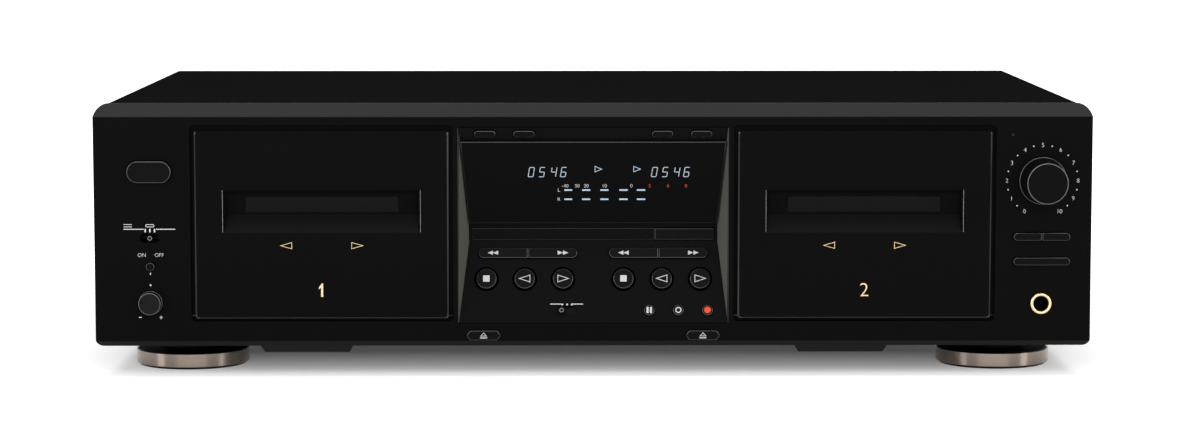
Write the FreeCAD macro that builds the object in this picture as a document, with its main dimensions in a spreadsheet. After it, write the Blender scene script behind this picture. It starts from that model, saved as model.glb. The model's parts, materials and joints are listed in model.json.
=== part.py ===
import FreeCAD, Part
import math
import os

import Sketcher
from FreeCAD import Placement, Rotation, Vector

# A dual cassette deck of full component width, in millimetres.
# +X is to the right as the user sees it, +Y runs to the back and +Z up.
# The origin lies on the floor, under the middle of the whole deck.

doc = FreeCAD.newDocument("dual_cassette_deck")
sheet = doc.addObject("Spreadsheet::Sheet", "Size")
numbers = {}
made = []


class Measure:
    """A length worked out from the sheet: its number now, and the formula that keeps it bound."""

    def __init__(self, number, formula):
        self.number = number
        self.formula = formula

    def __add__(self, other):
        other = measure(other)
        return Measure(self.number + other.number, f"({self.formula} + {other.formula})")

    __radd__ = __add__

    def __sub__(self, other):
        other = measure(other)
        return Measure(self.number - other.number, f"({self.formula} - {other.formula})")

    def __mul__(self, factor):
        return Measure(self.number * factor, f"({self.formula} * {factor})")

    def __truediv__(self, divisor):
        return Measure(self.number / divisor, f"({self.formula} / {divisor})")

    def __neg__(self):
        return Measure(-self.number, f"(0 - {self.formula})")


def measure(value):
    """A plain number becomes a measure too, so that the helpers below take either."""
    if isinstance(value, Measure):
        return value
    return Measure(float(value), f"({float(value)})")


def size(alias):
    """The measure of one cell of the sheet."""
    return Measure(numbers[alias], f"Size.{alias}")


def driving(note, **cells):
    """Writes one row per driving dimension, with its note, its number and its alias."""
    for alias, number in cells.items():
        row = len(numbers) + 1
        sheet.set(f"A{row}", note)
        sheet.set(f"B{row}", str(number))
        sheet.setAlias(f"B{row}", alias)
        numbers[alias] = float(number)


# Driving dimensions
driving("front panel", panel_width=430.0, panel_bottom=13.4, panel_top=117.8, panel_depth=15.0)
driving("front panel face in front of the origin", face_lead=129.0)
driving("front panel walls", panel_thick=4.0, panel_wall=2.5, panel_floor=1.6, shelf_rise=1.5)
driving("front panel corners", top_corner=4.5, bottom_corner=3.2)
driving("sloped top band", band_rise=5.0, band_depth=13.7)
driving("bottom chamfer", chin_rise=2.3)
driving("door rebate in the panel", rebate_width=113.0, rebate_bottom=24.3, rebate_top=109.3)
driving("door rebate in the panel", rebate_deep=2.5)
driving("way through for the cassette holder", way_width=106.0, way_bottom=26.4, way_top=106.0)
driving("deck centre to the middle of the panel", deck_offset=117.0)
driving("door plate", door_width=109.2, door_bottom=25.6, door_top=106.9, door_thick=2.2)
driving("door plate", door_proud=0.8, door_edge=0.5)
driving("door hinge axis, above the floor and behind the face", hinge_height=27.2, hinge_deep=1.2)
driving("door trunnion and its bearing", trunnion_radius=0.8, bearing_gap=0.08, trunnion_reach=1.2)
driving("door trunnion and its bearing", trunnion_root=4.0, end_float=0.2)
driving("folded window recess", window_width=83.4, window_bottom=62.9, window_top=81.3)
driving("folded window recess", fold_height=70.0, fold_deep=4.2, brow_height=79.3, brow_deep=1.5)
driving("folded window recess", window_wall=1.4, window_chamfer=0.9)
driving("clear pane", pane_width=66.0, pane_low=71.2, pane_high=78.2, pane_thick=0.8, pane_gap=0.05)
driving("cassette", cassette_width=100.4, cassette_bottom=37.0)
driving("cassette holder", holder_gap=0.4, holder_wall=1.2, holder_front=6.1, holder_back=15.7)
driving("cassette holder", holder_bottom=31.0, holder_top=99.5, holder_rail=3.6, holder_view=43.5)
driving("cassette holder", apron_top=55.0, head_way=38.0, rail_thick=1.2, rest_drop=0.2)
driving("centre recess at the face", recess_width=116.0, recess_bottom=23.9, recess_top=107.9)
driving("centre recess at its fold", fold_width=108.0, fold_bottom=58.0, fold_top=65.6, recess_deep=12.0)
driving("centre insert", insert_rim=0.4, insert_back=2.0, insert_gap=0.2)
driving("display lens", lens_top=102.6, lens_bottom=66.4, lens_thick=2.0, lens_gap=0.3)
driving("display opening behind the lens", opening_side=6.0, opening_inset=4.0)
driving("keys", key_gap=0.3, key_rise=1.1, key_behind=7.0, key_edge=0.35)
driving("round transport keys", round_radius=4.4, round_pitch=16.6, round_first=13.1, round_height=41.9)
driving("round keys' wide ways", surround_radius=5.3)
driving("search bars", bar_inner=6.9, bar_outer=49.8, bar_split=28.3, bar_tall=4.6, bar_height=52.7)
driving("small recording keys", small_radius=2.4, small_height=28.7)
driving("small recording keys", small_first=24.2, small_pitch=12.6)
driving("counter keys", counter_width=9.2, counter_tall=3.0, counter_near=29.8, counter_far=46.6)
driving("counter keys", counter_height=105.6)
driving("copy speed key", copy_left=26.7, copy_right=52.4, copy_tall=5.0, copy_height=61.0)
driving("slide switches", slot_width=8.6, slot_tall=4.1, nub_radius=1.7, slider_width=17.5)
driving("slide switches", slider_tall=7.0, slider_thick=1.2, slider_gap=0.3, small_nub=1.2, nub_rise=0.5)
driving("noise filter switch", filter_middle=-11.45, filter_height=28.8, field_skin=1.0)
driving("eject keys", eject_width=14.8, eject_tall=4.2, eject_offset=47.4, eject_height=18.2)
driving("left column", left_column=-191.0, direction_height=60.5, tempo_switch_height=48.1)
driving("power key", power_width=19.2, power_tall=9.5, power_height=89.15, power_rise=2.2)
driving("tempo controls", tempo_switch_radius=1.9, tempo_height=32.5, tempo_radius=5.2, tempo_rise=5.0)
driving("right column", right_column=193.6)
driving("level lamp", lamp_height=104.9, lamp_offset=-12.96, lamp_radius=0.8, lamp_rise=0.4, lamp_long=6.0)
driving("level knob", level_height=85.2, level_base=10.3, level_front=9.0, level_rise=16.5)
driving("level knob", level_skirt=2.2)
driving("level knob", level_mark_angle=-130.0, level_mark_offset=6.0, level_mark_radius=1.1)
driving("tempo knob", tempo_cap=4.9, tempo_skirt=1.2)
driving("tempo knob", tempo_mark_angle=-79.0, tempo_mark_offset=3.6, tempo_mark_radius=0.45)
driving("knobs", knob_gap=0.3, mark_deep=0.5)
driving("knob shafts", shaft_radius=3.0, shaft_reach=8.0, shaft_gap=0.35)
driving("right hand keys", strip_width=24.5, strip_tall=3.4, fader_height=60.9, synchro_height=50.2)
driving("headphone socket", phones_height=31.8, phones_ring=4.7, phones_bore=3.2, phones_reach=24.0)
driving("headphone socket", phones_rise=0.9, phones_barrel=4.4, phones_blind=22.0)
driving("front feet", foot_offset=178.4, foot_behind=46.0, foot_radius=25.0, foot_step=6.9)
driving("front feet", foot_pad=1.0, foot_trim=1.0, foot_neck=12.0)
driving("rear feet", rear_foot_radius=17.0, rear_foot_behind=236.0)
driving("sheet metal", sheet_thick=1.0)
driving("top cover", cover_width=423.4, cover_front=15.3, cover_back=268.0, cover_bend=2.0)
driving("bottom chassis", chassis_width=420.4, chassis_bottom=13.0, chassis_flange=19.0)
driving("bottom chassis", chassis_front=15.3, chassis_back=264.3, lip_top=22.4)
driving("pressed wells under the mechanisms", well_width=43.0, well_floor=37.0, well_shift=-8.4)
driving("pressed wells under the mechanisms", well_front=17.5, well_length=34.0, well_drop=5.0)
driving("rear panel", rear_width=418.0, rear_bottom=14.2, rear_top=116.2, rear_face=265.5)
driving("line sockets", line_middle=140.0, line_height=74.0, line_pitch=15.0, line_radius=4.15)
driving("line sockets", line_reach=9.0, line_block=34.0, line_block_deep=12.0, line_bore=3.2)
driving("line sockets", line_face=30.0)
driving("cord gland", gland_offset=-178.0, gland_height=50.0, gland_radius=6.0, gland_bore=3.6)
driving("cord gland", gland_rise=3.0, gland_flange=8.0, gland_reach=9.0, gland_fit=0.05)
driving("tape mechanism", plate_front=21.0, plate_thick=2.0, plate_width=104.0, plate_bottom=14.2)
driving("tape mechanism", plate_top=104.0, spindle_offset=21.25, spindle_height=71.0)
driving("tape mechanism", capstan_radius=1.2, capstan_height=44.0, capstan_reach=10.5)
driving("tape mechanism", motor_radius=16.0, motor_deep=24.0, motor_drop=18.0)
driving("tape mechanism", foot_flange=14.0)
driving("reel spindle", hub_barrel=3.3, hub_reach=11.5, hub_shaft=2.0, hub_stand=0.5, hub_tail=6.0)
driving("reel spindle", hub_nose=2.1, hub_nose_long=1.6)
driving("reel spindle's fins", hub_fin=4.4, hub_fin_thick=1.0, hub_teeth=3, fin_root=0.5)
driving("head block", head_half=31.0, head_bottom=24.0, head_plate=3.0, head_deep=9.5, head_gap=0.3)
driving("head block", head_width=12.0, head_tall=8.5, head_round=3.0, head_inset=0.4)
driving("head block", guide_inner=10.0, guide_outer=12.0)
driving("head block", roller_radius=4.2, roller_offset=25.0, roller_sink=0.2)
driving("circuit board", board_width=230.0, board_length=150.0, board_left=-40.0, board_front=95.0)
driving("circuit board", board_height=22.0, board_thick=1.6, stand_half=3.0, stand_inset=8.0)
driving("capacitors", can_first=24.0, can_pitch=26.0, can_row=120.0, can_radius=7.0, can_tall=18.0)
driving("chips", chip_first=30.0, chip_pitch=46.0, chip_row=60.0)
driving("chips", chip_long=30.0, chip_wide=12.0, chip_tall=4.0)
driving("power transformer", core_width=62.0, core_length=42.0, core_height=52.0)
driving("power transformer", core_left=-190.0, core_front=175.0, coil_wall=9.0)
driving("cover screws", screw_head=3.6, screw_crown=1.6)
driving("cover screws", screw_height=24.0, screw_front=70.0, screw_back=225.0)

face = -size("face_lead")
doc.recompute()


# Sketch helpers: each adds one closed outline, whose size and place stay bound to the sheet
def put(sketch, kind, where, value):
    """Adds one dimension to a sketch and binds it to its formula."""
    value = measure(value)
    index = sketch.addConstraint(Sketcher.Constraint(kind, *where, value.number))
    sketch.setExpression(f"Constraints[{index}]", value.formula)


def pin(sketch, geometry, end, x, y=None):
    """Holds one end of a piece of geometry at a place measured from the sketch's origin."""
    held = [("DistanceX", measure(x))]
    if y is not None:
        held.append(("DistanceY", measure(y)))
    for kind, value in held:
        if abs(value.number) < 1e-9:
            axis = -2 if kind == "DistanceX" else -1
            sketch.addConstraint(Sketcher.Constraint("PointOnObject", geometry, end, axis))
            continue
        put(sketch, kind, (-1, 1, geometry, end), value)


def polygon(sketch, *points):
    """A closed outline of straight lines through the given points."""
    points = [(measure(x), measure(y)) for x, y in points]
    first = sketch.GeometryCount
    for (ax, ay), (bx, by) in zip(points, points[1:] + points[:1]):
        start = Vector(ax.number, ay.number, 0)
        sketch.addGeometry(Part.LineSegment(start, Vector(bx.number, by.number, 0)), False)
    for turn, (x, y) in enumerate(points):
        after = first + (turn + 1) % len(points)
        sketch.addConstraint(Sketcher.Constraint("Coincident", first + turn, 2, after, 1))
        pin(sketch, first + turn, 1, x, y)


def rectangle(sketch, left, bottom, right, top):
    """An upright rectangle between two corners."""
    polygon(sketch, (left, bottom), (right, bottom), (right, top), (left, top))


def circle(sketch, x, y, radius):
    """A circle about a centre."""
    x, y, radius = measure(x), measure(y), measure(radius)
    shape = Part.Circle(Vector(x.number, y.number, 0), Vector(0, 0, 1), radius.number)
    index = sketch.addGeometry(shape, False)
    put(sketch, "Radius", (index,), radius)
    pin(sketch, index, 3, x, y)


def rounded(sketch, left, bottom, right, top, low, high=None):
    """An upright rectangle whose corners are arcs: radius low below, high above."""
    left, bottom, right, top = [measure(value) for value in (left, bottom, right, top)]
    low = measure(low)
    high = measure(high if high is not None else low)
    quarter = math.pi / 2
    corners = [
        (left + low, bottom + low, low, 2),
        (right - low, bottom + low, low, 3),
        (right - high, top - high, high, 0),
        (left + high, top - high, high, 1),
    ]
    first = sketch.GeometryCount
    for x, y, radius, turn in corners:
        arc = Part.Circle(Vector(x.number, y.number, 0), Vector(0, 0, 1), radius.number)
        sketch.addGeometry(Part.ArcOfCircle(arc, turn * quarter, (turn + 1) * quarter), False)
    for here in range(4):
        after = (here + 1) % 4
        start = sketch.getPoint(first + here, 2)
        sketch.addGeometry(Part.LineSegment(start, sketch.getPoint(first + after, 1)), False)
    for here, (x, y, radius, turn) in enumerate(corners):
        line = first + 4 + here
        after = first + (here + 1) % 4
        sketch.addConstraint(Sketcher.Constraint("Tangent", first + here, 2, line, 1))
        sketch.addConstraint(Sketcher.Constraint("Tangent", line, 2, after, 1))
        put(sketch, "Radius", (first + here,), radius)
        pin(sketch, first + here, 3, x, y)


def pill(sketch, left, bottom, right, top, ends="both"):
    """A bar with half round ends, or with only its left or right end round."""
    left, bottom, right, top = [measure(value) for value in (left, bottom, right, top)]
    radius = (top - bottom) / 2
    middle = bottom + radius
    round_left = ends in ("both", "left")
    round_right = ends in ("both", "right")
    low_left = (left + radius if round_left else left, bottom)
    low_right = (right - radius if round_right else right, bottom)
    top_left = (low_left[0], top)
    top_right = (low_right[0], top)
    first = sketch.GeometryCount

    def side(start, end):
        points = [Vector(x.number, y.number, 0) for x, y in (start, end)]
        sketch.addGeometry(Part.LineSegment(*points), False)

    def cap(x, begin):
        arc = Part.Circle(Vector(x.number, middle.number, 0), Vector(0, 0, 1), radius.number)
        sketch.addGeometry(Part.ArcOfCircle(arc, begin, begin + math.pi), False)

    side(low_left, low_right)
    cap(low_right[0], -math.pi / 2) if round_right else side(low_right, top_right)
    side(top_right, top_left)
    cap(low_left[0], math.pi / 2) if round_left else side(top_left, low_left)
    for here in range(4):
        sketch.addConstraint(Sketcher.Constraint("Coincident", first + here, 2, first + (here + 1) % 4, 1))
    pin(sketch, first, 1, *low_left)
    pin(sketch, first, 2, *low_right)
    pin(sketch, first + 2, 1, *top_right)
    pin(sketch, first + 2, 2, *top_left)
    for here, is_round, x in ((1, round_right, low_right[0]), (3, round_left, low_left[0])):
        if is_round:
            pin(sketch, first + here, 3, x)


# Body helpers
def new_body(name):
    """A part of its own, named after the real piece."""
    body = doc.addObject("PartDesign::Body", name)
    body.Label = name
    made.append(body)
    return body


def new_sketch(body, plane, lift=0, slope=0.0, shift=(0, 0)):
    """A sketch on one of the body's own origin planes, lifted along its normal and sloped about its X."""
    sketch = body.newObject("Sketcher::SketchObject", f"{body.Name}_sketch")
    support = next(item for item in body.Origin.OriginFeatures if item.Role == plane)
    sketch.AttachmentSupport = (support, [""])
    sketch.MapMode = "FlatFace"
    lift = measure(lift)
    across, up = measure(shift[0]), measure(shift[1])
    turned = Rotation(Vector(1, 0, 0), slope)
    sketch.AttachmentOffset = Placement(Vector(across.number, up.number, lift.number), turned)
    for axis, value in (("x", across), ("y", up), ("z", lift)):
        if value.number:
            sketch.setExpression(f"AttachmentOffset.Base.{axis}", value.formula)
    return sketch


def feature(body, kind, sketch, length=None, **settings):
    """Adds a pad, pocket or other feature made from a sketch."""
    before = body.Shape.Volume if body.Tip else 0.0
    item = body.newObject(f"PartDesign::{kind}", f"{body.Name}_{kind.lower()}")
    item.Profile = sketch
    for key, value in settings.items():
        setattr(item, key, value)
    if length is not None:
        item.setExpression("Length", measure(length).formula)
    sketch.Visibility = False
    doc.recompute()
    after = item.Shape.Volume
    taking = kind == "Pocket"
    if taking and not after < before - 1e-6:
        raise RuntimeError(f"{item.Name} cuts nothing")
    if not taking and not after > before + 1e-6:
        raise RuntimeError(f"{item.Name} adds nothing")
    return item


def pad(body, sketch, length, **settings):
    """Pulls a sketch out of its plane, along its normal."""
    return feature(body, "Pad", sketch, length, **settings)


def pocket(body, sketch, length, **settings):
    """Cuts a sketch into the solid, against its normal."""
    return feature(body, "Pocket", sketch, length, **settings)


def wedge(body, kind, along, near, far):
    """A block with drafted walls. Each end is (level, left, low, right, high), going along Y or down Z."""
    before = body.Shape.Volume if body.Tip else 0.0
    item = body.newObject(f"PartDesign::{kind}", f"{body.Name}_wedge")
    for word, (level, left, low, right, high) in (("min", near), ("max", far)):
        upper = "2" if word == "max" else ""
        cells = {f"Y{word}": level, f"X{upper}min": left, f"X{upper}max": right,
                 f"Z{upper}min": low, f"Z{upper}max": high}
        for cell, value in cells.items():
            setattr(item, cell, measure(value).number)
            item.setExpression(cell, measure(value).formula)
    if along == "Z":
        item.Placement.Rotation = Rotation(Vector(1, 0, 0), -90)
    doc.recompute()
    after = item.Shape.Volume
    grown = after > before + 1e-6 if kind == "AdditiveWedge" else after < before - 1e-6
    if not grown:
        raise RuntimeError(f"{item.Name} changes nothing")
    return item


def turn(body, sketch, axis="V_Axis"):
    """Turns a half section about the sketch's own axis."""
    return feature(body, "Revolution", sketch, ReferenceAxis=(sketch, [axis]), Angle=360.0)


def edges(item, test):
    """The names of the edges whose box passes a test."""
    names = []
    for index, edge in enumerate(item.Shape.Edges, 1):
        if test(edge.BoundBox):
            names.append(f"Edge{index}")
    return names


def dress(body, kind, names, amount):
    """Rounds or chamfers the named edges of the body's last feature."""
    item = body.newObject(f"PartDesign::{kind}", f"{body.Name}_{kind.lower()}")
    item.Base = (body.Tip if body.Tip is not item else item.BaseFeature, names)
    item.setExpression("Radius" if kind == "Fillet" else "Size", measure(amount).formula)
    doc.recompute()
    return item


def place(item, x=0, y=0, z=0, slope=0.0):
    """Puts a part where it belongs, tipped about the X axis."""
    where = [measure(value) for value in (x, y, z)]
    item.Placement = Placement(Vector(*[value.number for value in where]), Rotation(Vector(1, 0, 0), slope))
    for axis, value in zip("xyz", where):
        if value.number:
            item.setExpression(f".Placement.Base.{axis}", value.formula)


# Slopes of the centre recess: the display leans out at its top, the key field faces up
recess_deep = size("recess_deep")
display_run = size("recess_top") - size("fold_top")
field_run = size("fold_bottom") - size("recess_bottom")
display_slope = math.degrees(math.atan2(recess_deep.number, display_run.number))
field_slope = -math.degrees(math.atan2(recess_deep.number, field_run.number))


def field_deep(height):
    """How far behind the face the key field lies at a height."""
    rise = height - size("recess_bottom")
    slope = f"({recess_deep.formula} / {field_run.formula})"
    share = recess_deep.number / field_run.number
    return Measure(rise.number * share, f"({rise.formula} * {slope})")


def display_deep(height):
    """How far behind the face the display strip lies at a height."""
    drop = size("recess_top") - height
    slope = f"({recess_deep.formula} / {display_run.formula})"
    share = recess_deep.number / display_run.number
    return Measure(drop.number * share, f"({drop.formula} * {slope})")


def along(height, start, slope):
    """The distance along a sloped field from its start height to a height."""
    cosine = math.cos(math.radians(slope))
    return (height - start) / round(cosine, 9)


# Front panel: one moulding with a sloped top band, two rebated door ways and the centre way
panel = new_body("front_panel")
place(panel, y=face)
half_panel = size("panel_width") / 2
outline = new_sketch(panel, "XZ_Plane", -size("panel_depth"))
rounded(outline, -half_panel, size("panel_bottom"), half_panel, size("panel_top"),
        size("bottom_corner"), size("top_corner"))
pad(panel, outline, size("panel_depth"))

band_start = size("panel_top") - size("band_rise")
chin = size("panel_bottom") + size("chin_rise")
spare = 2.0
slopes = new_sketch(panel, "YZ_Plane")
polygon(slopes, (-spare, band_start), (0, band_start), (size("band_depth"), size("panel_top")),
        (size("band_depth"), size("panel_top") + spare), (-spare, size("panel_top") + spare))
polygon(slopes, (-spare, chin), (0, chin), (size("chin_rise"), size("panel_bottom")),
        (size("chin_rise"), size("panel_bottom") - spare), (-spare, size("panel_bottom") - spare))
pocket(panel, slopes, size("panel_width") + spare, Midplane=True)

inner_half = half_panel - size("panel_wall")
shelf_lap = 0.5
shelf_top = size("rebate_top") + size("shelf_rise")
hollow = new_sketch(panel, "XZ_Plane", -size("panel_depth"))
rectangle(hollow, -inner_half, size("panel_bottom") + size("panel_floor"), inner_half, shelf_top)
pocket(panel, hollow, size("panel_depth") - size("panel_thick"), Reversed=True)
hollow = new_sketch(panel, "XZ_Plane", -size("panel_depth"))
rectangle(hollow, -inner_half, shelf_top - shelf_lap, inner_half, size("panel_top") - size("panel_wall"))
pocket(panel, hollow, size("panel_depth") / 2, Reversed=True)

decks = (("a", -size("deck_offset")), ("b", size("deck_offset")))
rebates = new_sketch(panel, "XZ_Plane")
for _, centre in decks:
    half = size("rebate_width") / 2
    rectangle(rebates, centre - half, size("rebate_bottom"), centre + half, size("rebate_top"))
pocket(panel, rebates, size("rebate_deep"))

ways = new_sketch(panel, "XZ_Plane")
for _, centre in decks:
    half = size("way_width") / 2
    rectangle(ways, centre - half, size("way_bottom"), centre + half, size("way_top"))
rim = size("insert_rim") + size("insert_gap")
half = size("recess_width") / 2 + rim
rectangle(ways, -half, size("recess_bottom") - rim, half, size("recess_top") + rim)
pocket(panel, ways, size("panel_thick") + spare)

# Bearings of the doors: short blind bores in the rebates' side walls
bearing = size("trunnion_radius") + size("bearing_gap")
for _, centre in decks:
    for side in (-1, 1):
        wall = centre + size("rebate_width") / 2 * side
        bore = new_sketch(panel, "YZ_Plane", wall)
        circle(bore, size("hinge_deep"), size("hinge_height"), bearing)
        pocket(panel, bore, size("trunnion_reach") + size("end_float"), Reversed=side > 0)

# Holes for the controls on the flat of the panel
key_gap = size("key_gap")
left_column = size("left_column")
right_column = size("right_column")
shaft_hole = size("shaft_radius") + size("shaft_gap")


def power_outline(sketch, grow):
    """The power key's outline, or its hole."""
    half_wide = size("power_width") / 2 + grow
    half_tall = size("power_tall") / 2 + grow
    height = size("power_height")
    pill(sketch, left_column - half_wide, height - half_tall, left_column + half_wide, height + half_tall)


def lozenge(sketch, x, y, width, tall):
    """A bar whose ends come to a point."""
    x, y = measure(x), measure(y)
    half_wide, half_tall = width / 2, tall / 2
    straight = half_wide - half_tall
    polygon(sketch, (x - half_wide, y), (x - straight, y - half_tall), (x + straight, y - half_tall),
            (x + half_wide, y), (x + straight, y + half_tall), (x - straight, y + half_tall))


holes = new_sketch(panel, "XZ_Plane")
power_outline(holes, key_gap)
half_wide, half_tall = size("slot_width") / 2, size("slot_tall") / 2
height = size("direction_height")
pill(holes, left_column - half_wide, height - half_tall, left_column + half_wide, height + half_tall)
circle(holes, left_column, size("tempo_switch_height"), size("tempo_switch_radius") + key_gap)
circle(holes, left_column, size("tempo_height"), shaft_hole)
circle(holes, right_column, size("level_height"), shaft_hole)
circle(holes, right_column + size("lamp_offset"), size("lamp_height"), size("lamp_radius"))
circle(holes, right_column, size("phones_height"), size("phones_barrel"))
half_wide = size("strip_width") / 2 + key_gap
half_tall = size("strip_tall") / 2 + key_gap
for height in (size("fader_height"), size("synchro_height")):
    pill(holes, right_column - half_wide, height - half_tall, right_column + half_wide, height + half_tall)
for side in (-1, 1):
    lozenge(holes, size("eject_offset") * side, size("eject_height"),
            size("eject_width") + key_gap * 2, size("eject_tall") + key_gap * 2)
pocket(panel, holes, size("panel_thick") + spare)

# Centre insert: a drafted recess whose upper wall carries the display and whose lower wall faces up
insert = new_body("centre_panel")
place(insert, y=face)
fold_half = size("fold_width") / 2
recess_half = size("recess_width") / 2
rim = size("insert_rim")
back = size("insert_back")
mouth = (-recess_half, size("recess_bottom"), recess_half, size("recess_top"))
fold = (-fold_half, size("fold_bottom"), fold_half, size("fold_top"))
outward = (-1, -1, 1, 1)
wedge(insert, "AdditiveWedge", "Y",
      (measure(0), *[value + rim * way for value, way in zip(mouth, outward)]),
      (recess_deep + back, *[value + back * way for value, way in zip(fold, outward)]))
wedge(insert, "SubtractiveWedge", "Y", (measure(0), *mouth), (recess_deep, *fold))


def on_field(height):
    """A height of the key field as a distance up its slope."""
    return along(size(height), size("recess_bottom"), field_slope)


def on_display(height):
    """A height of the display strip as a distance down its slope."""
    return along(size(height), size("recess_top"), display_slope)


round_places = []
for side in (-1, 1):
    for step in range(3):
        round_places.append((size("round_first") + size("round_pitch") * step) * side)
small_places = [size("small_first") + size("small_pitch") * step for step in range(3)]
counter_places = [size(name) * side for side in (-1, 1) for name in ("counter_near", "counter_far")]

through = 10.0
field_holes = new_sketch(insert, "XZ_Plane", 0, field_slope, (0, size("recess_bottom")))
for x in round_places:
    circle(field_holes, x, on_field("round_height"), size("surround_radius"))
for x in small_places:
    circle(field_holes, x, on_field("small_height"), size("small_radius") + key_gap)
half_tall = size("bar_tall") / 2 + key_gap
inner, outer = size("bar_inner") - key_gap, size("bar_outer") + key_gap
level = on_field("bar_height")
pill(field_holes, -outer, level - half_tall, -inner, level + half_tall)
pill(field_holes, inner, level - half_tall, outer, level + half_tall)
half_wide, half_tall = size("slot_width") / 2, size("slot_tall") / 2
middle, level = size("filter_middle"), on_field("filter_height")
pill(field_holes, middle - half_wide, level - half_tall, middle + half_wide, level + half_tall)
pocket(insert, field_holes, through, Midplane=True)

display_holes = new_sketch(insert, "XZ_Plane", 0, display_slope, (0, size("recess_top")))
level = on_display("counter_height")
half_wide = size("counter_width") / 2 + key_gap
half_tall = size("counter_tall") / 2 + key_gap
for x in counter_places:
    pill(display_holes, x - half_wide, level - half_tall, x + half_wide, level + half_tall)
window_side = fold_half - size("opening_side")
rectangle(display_holes, -window_side, on_display("lens_bottom") + size("opening_inset"), window_side,
          on_display("lens_top") - size("opening_inset"))
pocket(insert, display_holes, through, Midplane=True)

copy_hole = new_sketch(insert, "XZ_Plane", -recess_deep)
half_tall = size("copy_tall") / 2 + key_gap
rectangle(copy_hole, size("copy_left") - key_gap, size("copy_height") - half_tall,
          size("copy_right") + key_gap, size("copy_height") + half_tall)
pocket(insert, copy_hole, back + spare)

# Display lens: a dark plate that lies on the upper slope and follows the cheeks
lens = new_body("display_lens")
place(lens, y=face)
cheek_draft = (recess_half.number - fold_half.number) / recess_deep.number


def cheek_half(height):
    """Half the width of the display slope at a height, less the lens's gap."""
    return recess_half - size("lens_gap") - display_deep(height) * round(cheek_draft, 6)


lens_outline = new_sketch(lens, "XZ_Plane", 0, display_slope, (0, size("recess_top")))
low_half, high_half = cheek_half(size("lens_bottom")), cheek_half(size("lens_top"))
polygon(lens_outline, (-low_half, on_display("lens_bottom")), (low_half, on_display("lens_bottom")),
        (high_half, on_display("lens_top")), (-high_half, on_display("lens_top")))
pad(lens, lens_outline, size("lens_thick"))


# Keys: each is a plain plunger, most with a bevelled front edge, drawn about its own middle
def key(name, draw, x, deep, height, slope=0.0, rise="key_rise", behind="key_behind", edge="key_edge"):
    """A key whose outline is drawn by a function, seated on the panel or on a slope of the recess."""
    body = new_body(name)
    sketch = new_sketch(body, "XZ_Plane", -size(behind))
    draw(sketch)
    cap = pad(body, sketch, size(behind) + size(rise))
    front = -size(rise).number
    names = edges(cap, lambda box: abs(box.YMin - front) < 1e-4 and abs(box.YMax - front) < 1e-4)
    if edge:
        dress(body, "Chamfer", names, size(edge))
    place(body, x, face + deep, height, slope)
    return body


def round_key(radius):
    """A round key's outline."""
    return lambda sketch: circle(sketch, 0, 0, size(radius))


def bar_key(width, tall, ends="both"):
    """A bar key's outline, about its own middle."""
    half_wide, half_tall = measure(width) / 2, size(tall) / 2
    return lambda sketch: pill(sketch, -half_wide, -half_tall, half_wide, half_tall, ends)


def flat_key(width, tall):
    """A square-ended bar key's outline, about its own middle."""
    half_wide, half_tall = measure(width) / 2, measure(tall) / 2
    return lambda sketch: rectangle(sketch, -half_wide, -half_tall, half_wide, half_tall)


round_deep = field_deep(size("round_height"))
for x, name in zip(round_places, ("play_button_a", "reverse_button_a", "stop_button_a",
                                  "stop_button_b", "reverse_button_b", "play_button_b")):
    key(name, round_key("round_radius"), x, round_deep, size("round_height"), field_slope)

small_deep = field_deep(size("small_height"))
for x, name in zip(small_places, ("pause_button", "rec_mute_button", "record_button")):
    key(name, round_key("small_radius"), x, small_deep, size("small_height"), field_slope, edge=None)

bar_deep = field_deep(size("bar_height"))
split = key_gap / 2
near_wide = size("bar_split") - size("bar_inner") - split
far_wide = size("bar_outer") - size("bar_split") - split
near_middle = size("bar_inner") + near_wide / 2
far_middle = size("bar_outer") - far_wide / 2
bars = (
    ("rewind_button_a", -far_middle, far_wide, "left"),
    ("forward_button_a", -near_middle, near_wide, "right"),
    ("rewind_button_b", near_middle, near_wide, "left"),
    ("forward_button_b", far_middle, far_wide, "right"),
)
for name, x, width, ends in bars:
    key(name, bar_key(width, "bar_tall", ends), x, bar_deep, size("bar_height"), field_slope)

counter_deep = display_deep(size("counter_height"))
counter_names = ("memory_button_a", "reset_button_a", "reset_button_b", "memory_button_b")
for x, name in zip(counter_places, counter_names):
    key(name, bar_key(size("counter_width"), "counter_tall"), x, counter_deep,
        size("counter_height"), display_slope, edge=None)

copy_wide = size("copy_right") - size("copy_left")
copy_middle = size("copy_left") + copy_wide / 2
key("dubbing_button", flat_key(copy_wide, size("copy_tall")), copy_middle, recess_deep, size("copy_height"))


def power_cap(sketch):
    """The power key's outline, about its own middle."""
    half_wide, half_tall = size("power_width") / 2, size("power_tall") / 2
    pill(sketch, -half_wide, -half_tall, half_wide, half_tall)


def eject_cap(sketch):
    """The eject keys' pointed outline, about its own middle."""
    lozenge(sketch, 0, 0, size("eject_width"), size("eject_tall"))


key("power_button", power_cap, left_column, 0, size("power_height"), rise="power_rise")
key("pitch_switch_button", round_key("tempo_switch_radius"), left_column, 0,
    size("tempo_switch_height"), edge=None)
for side, name in ((-1, "eject_button_a"), (1, "eject_button_b")):
    key(name, eject_cap, size("eject_offset") * side, 0, size("eject_height"))
strip_half = size("strip_width") / 2 - split
strip_middle = strip_half / 2 + split
for side, name, ends in ((-1, "fader_button", "left"), (1, "auto_level_button", "right")):
    key(name, bar_key(strip_half, "strip_tall", ends), right_column + strip_middle * side, 0,
        size("fader_height"), edge=None)
key("synchro_button", bar_key(size("strip_width"), "strip_tall"), right_column, 0,
    size("synchro_height"), edge=None)


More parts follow.
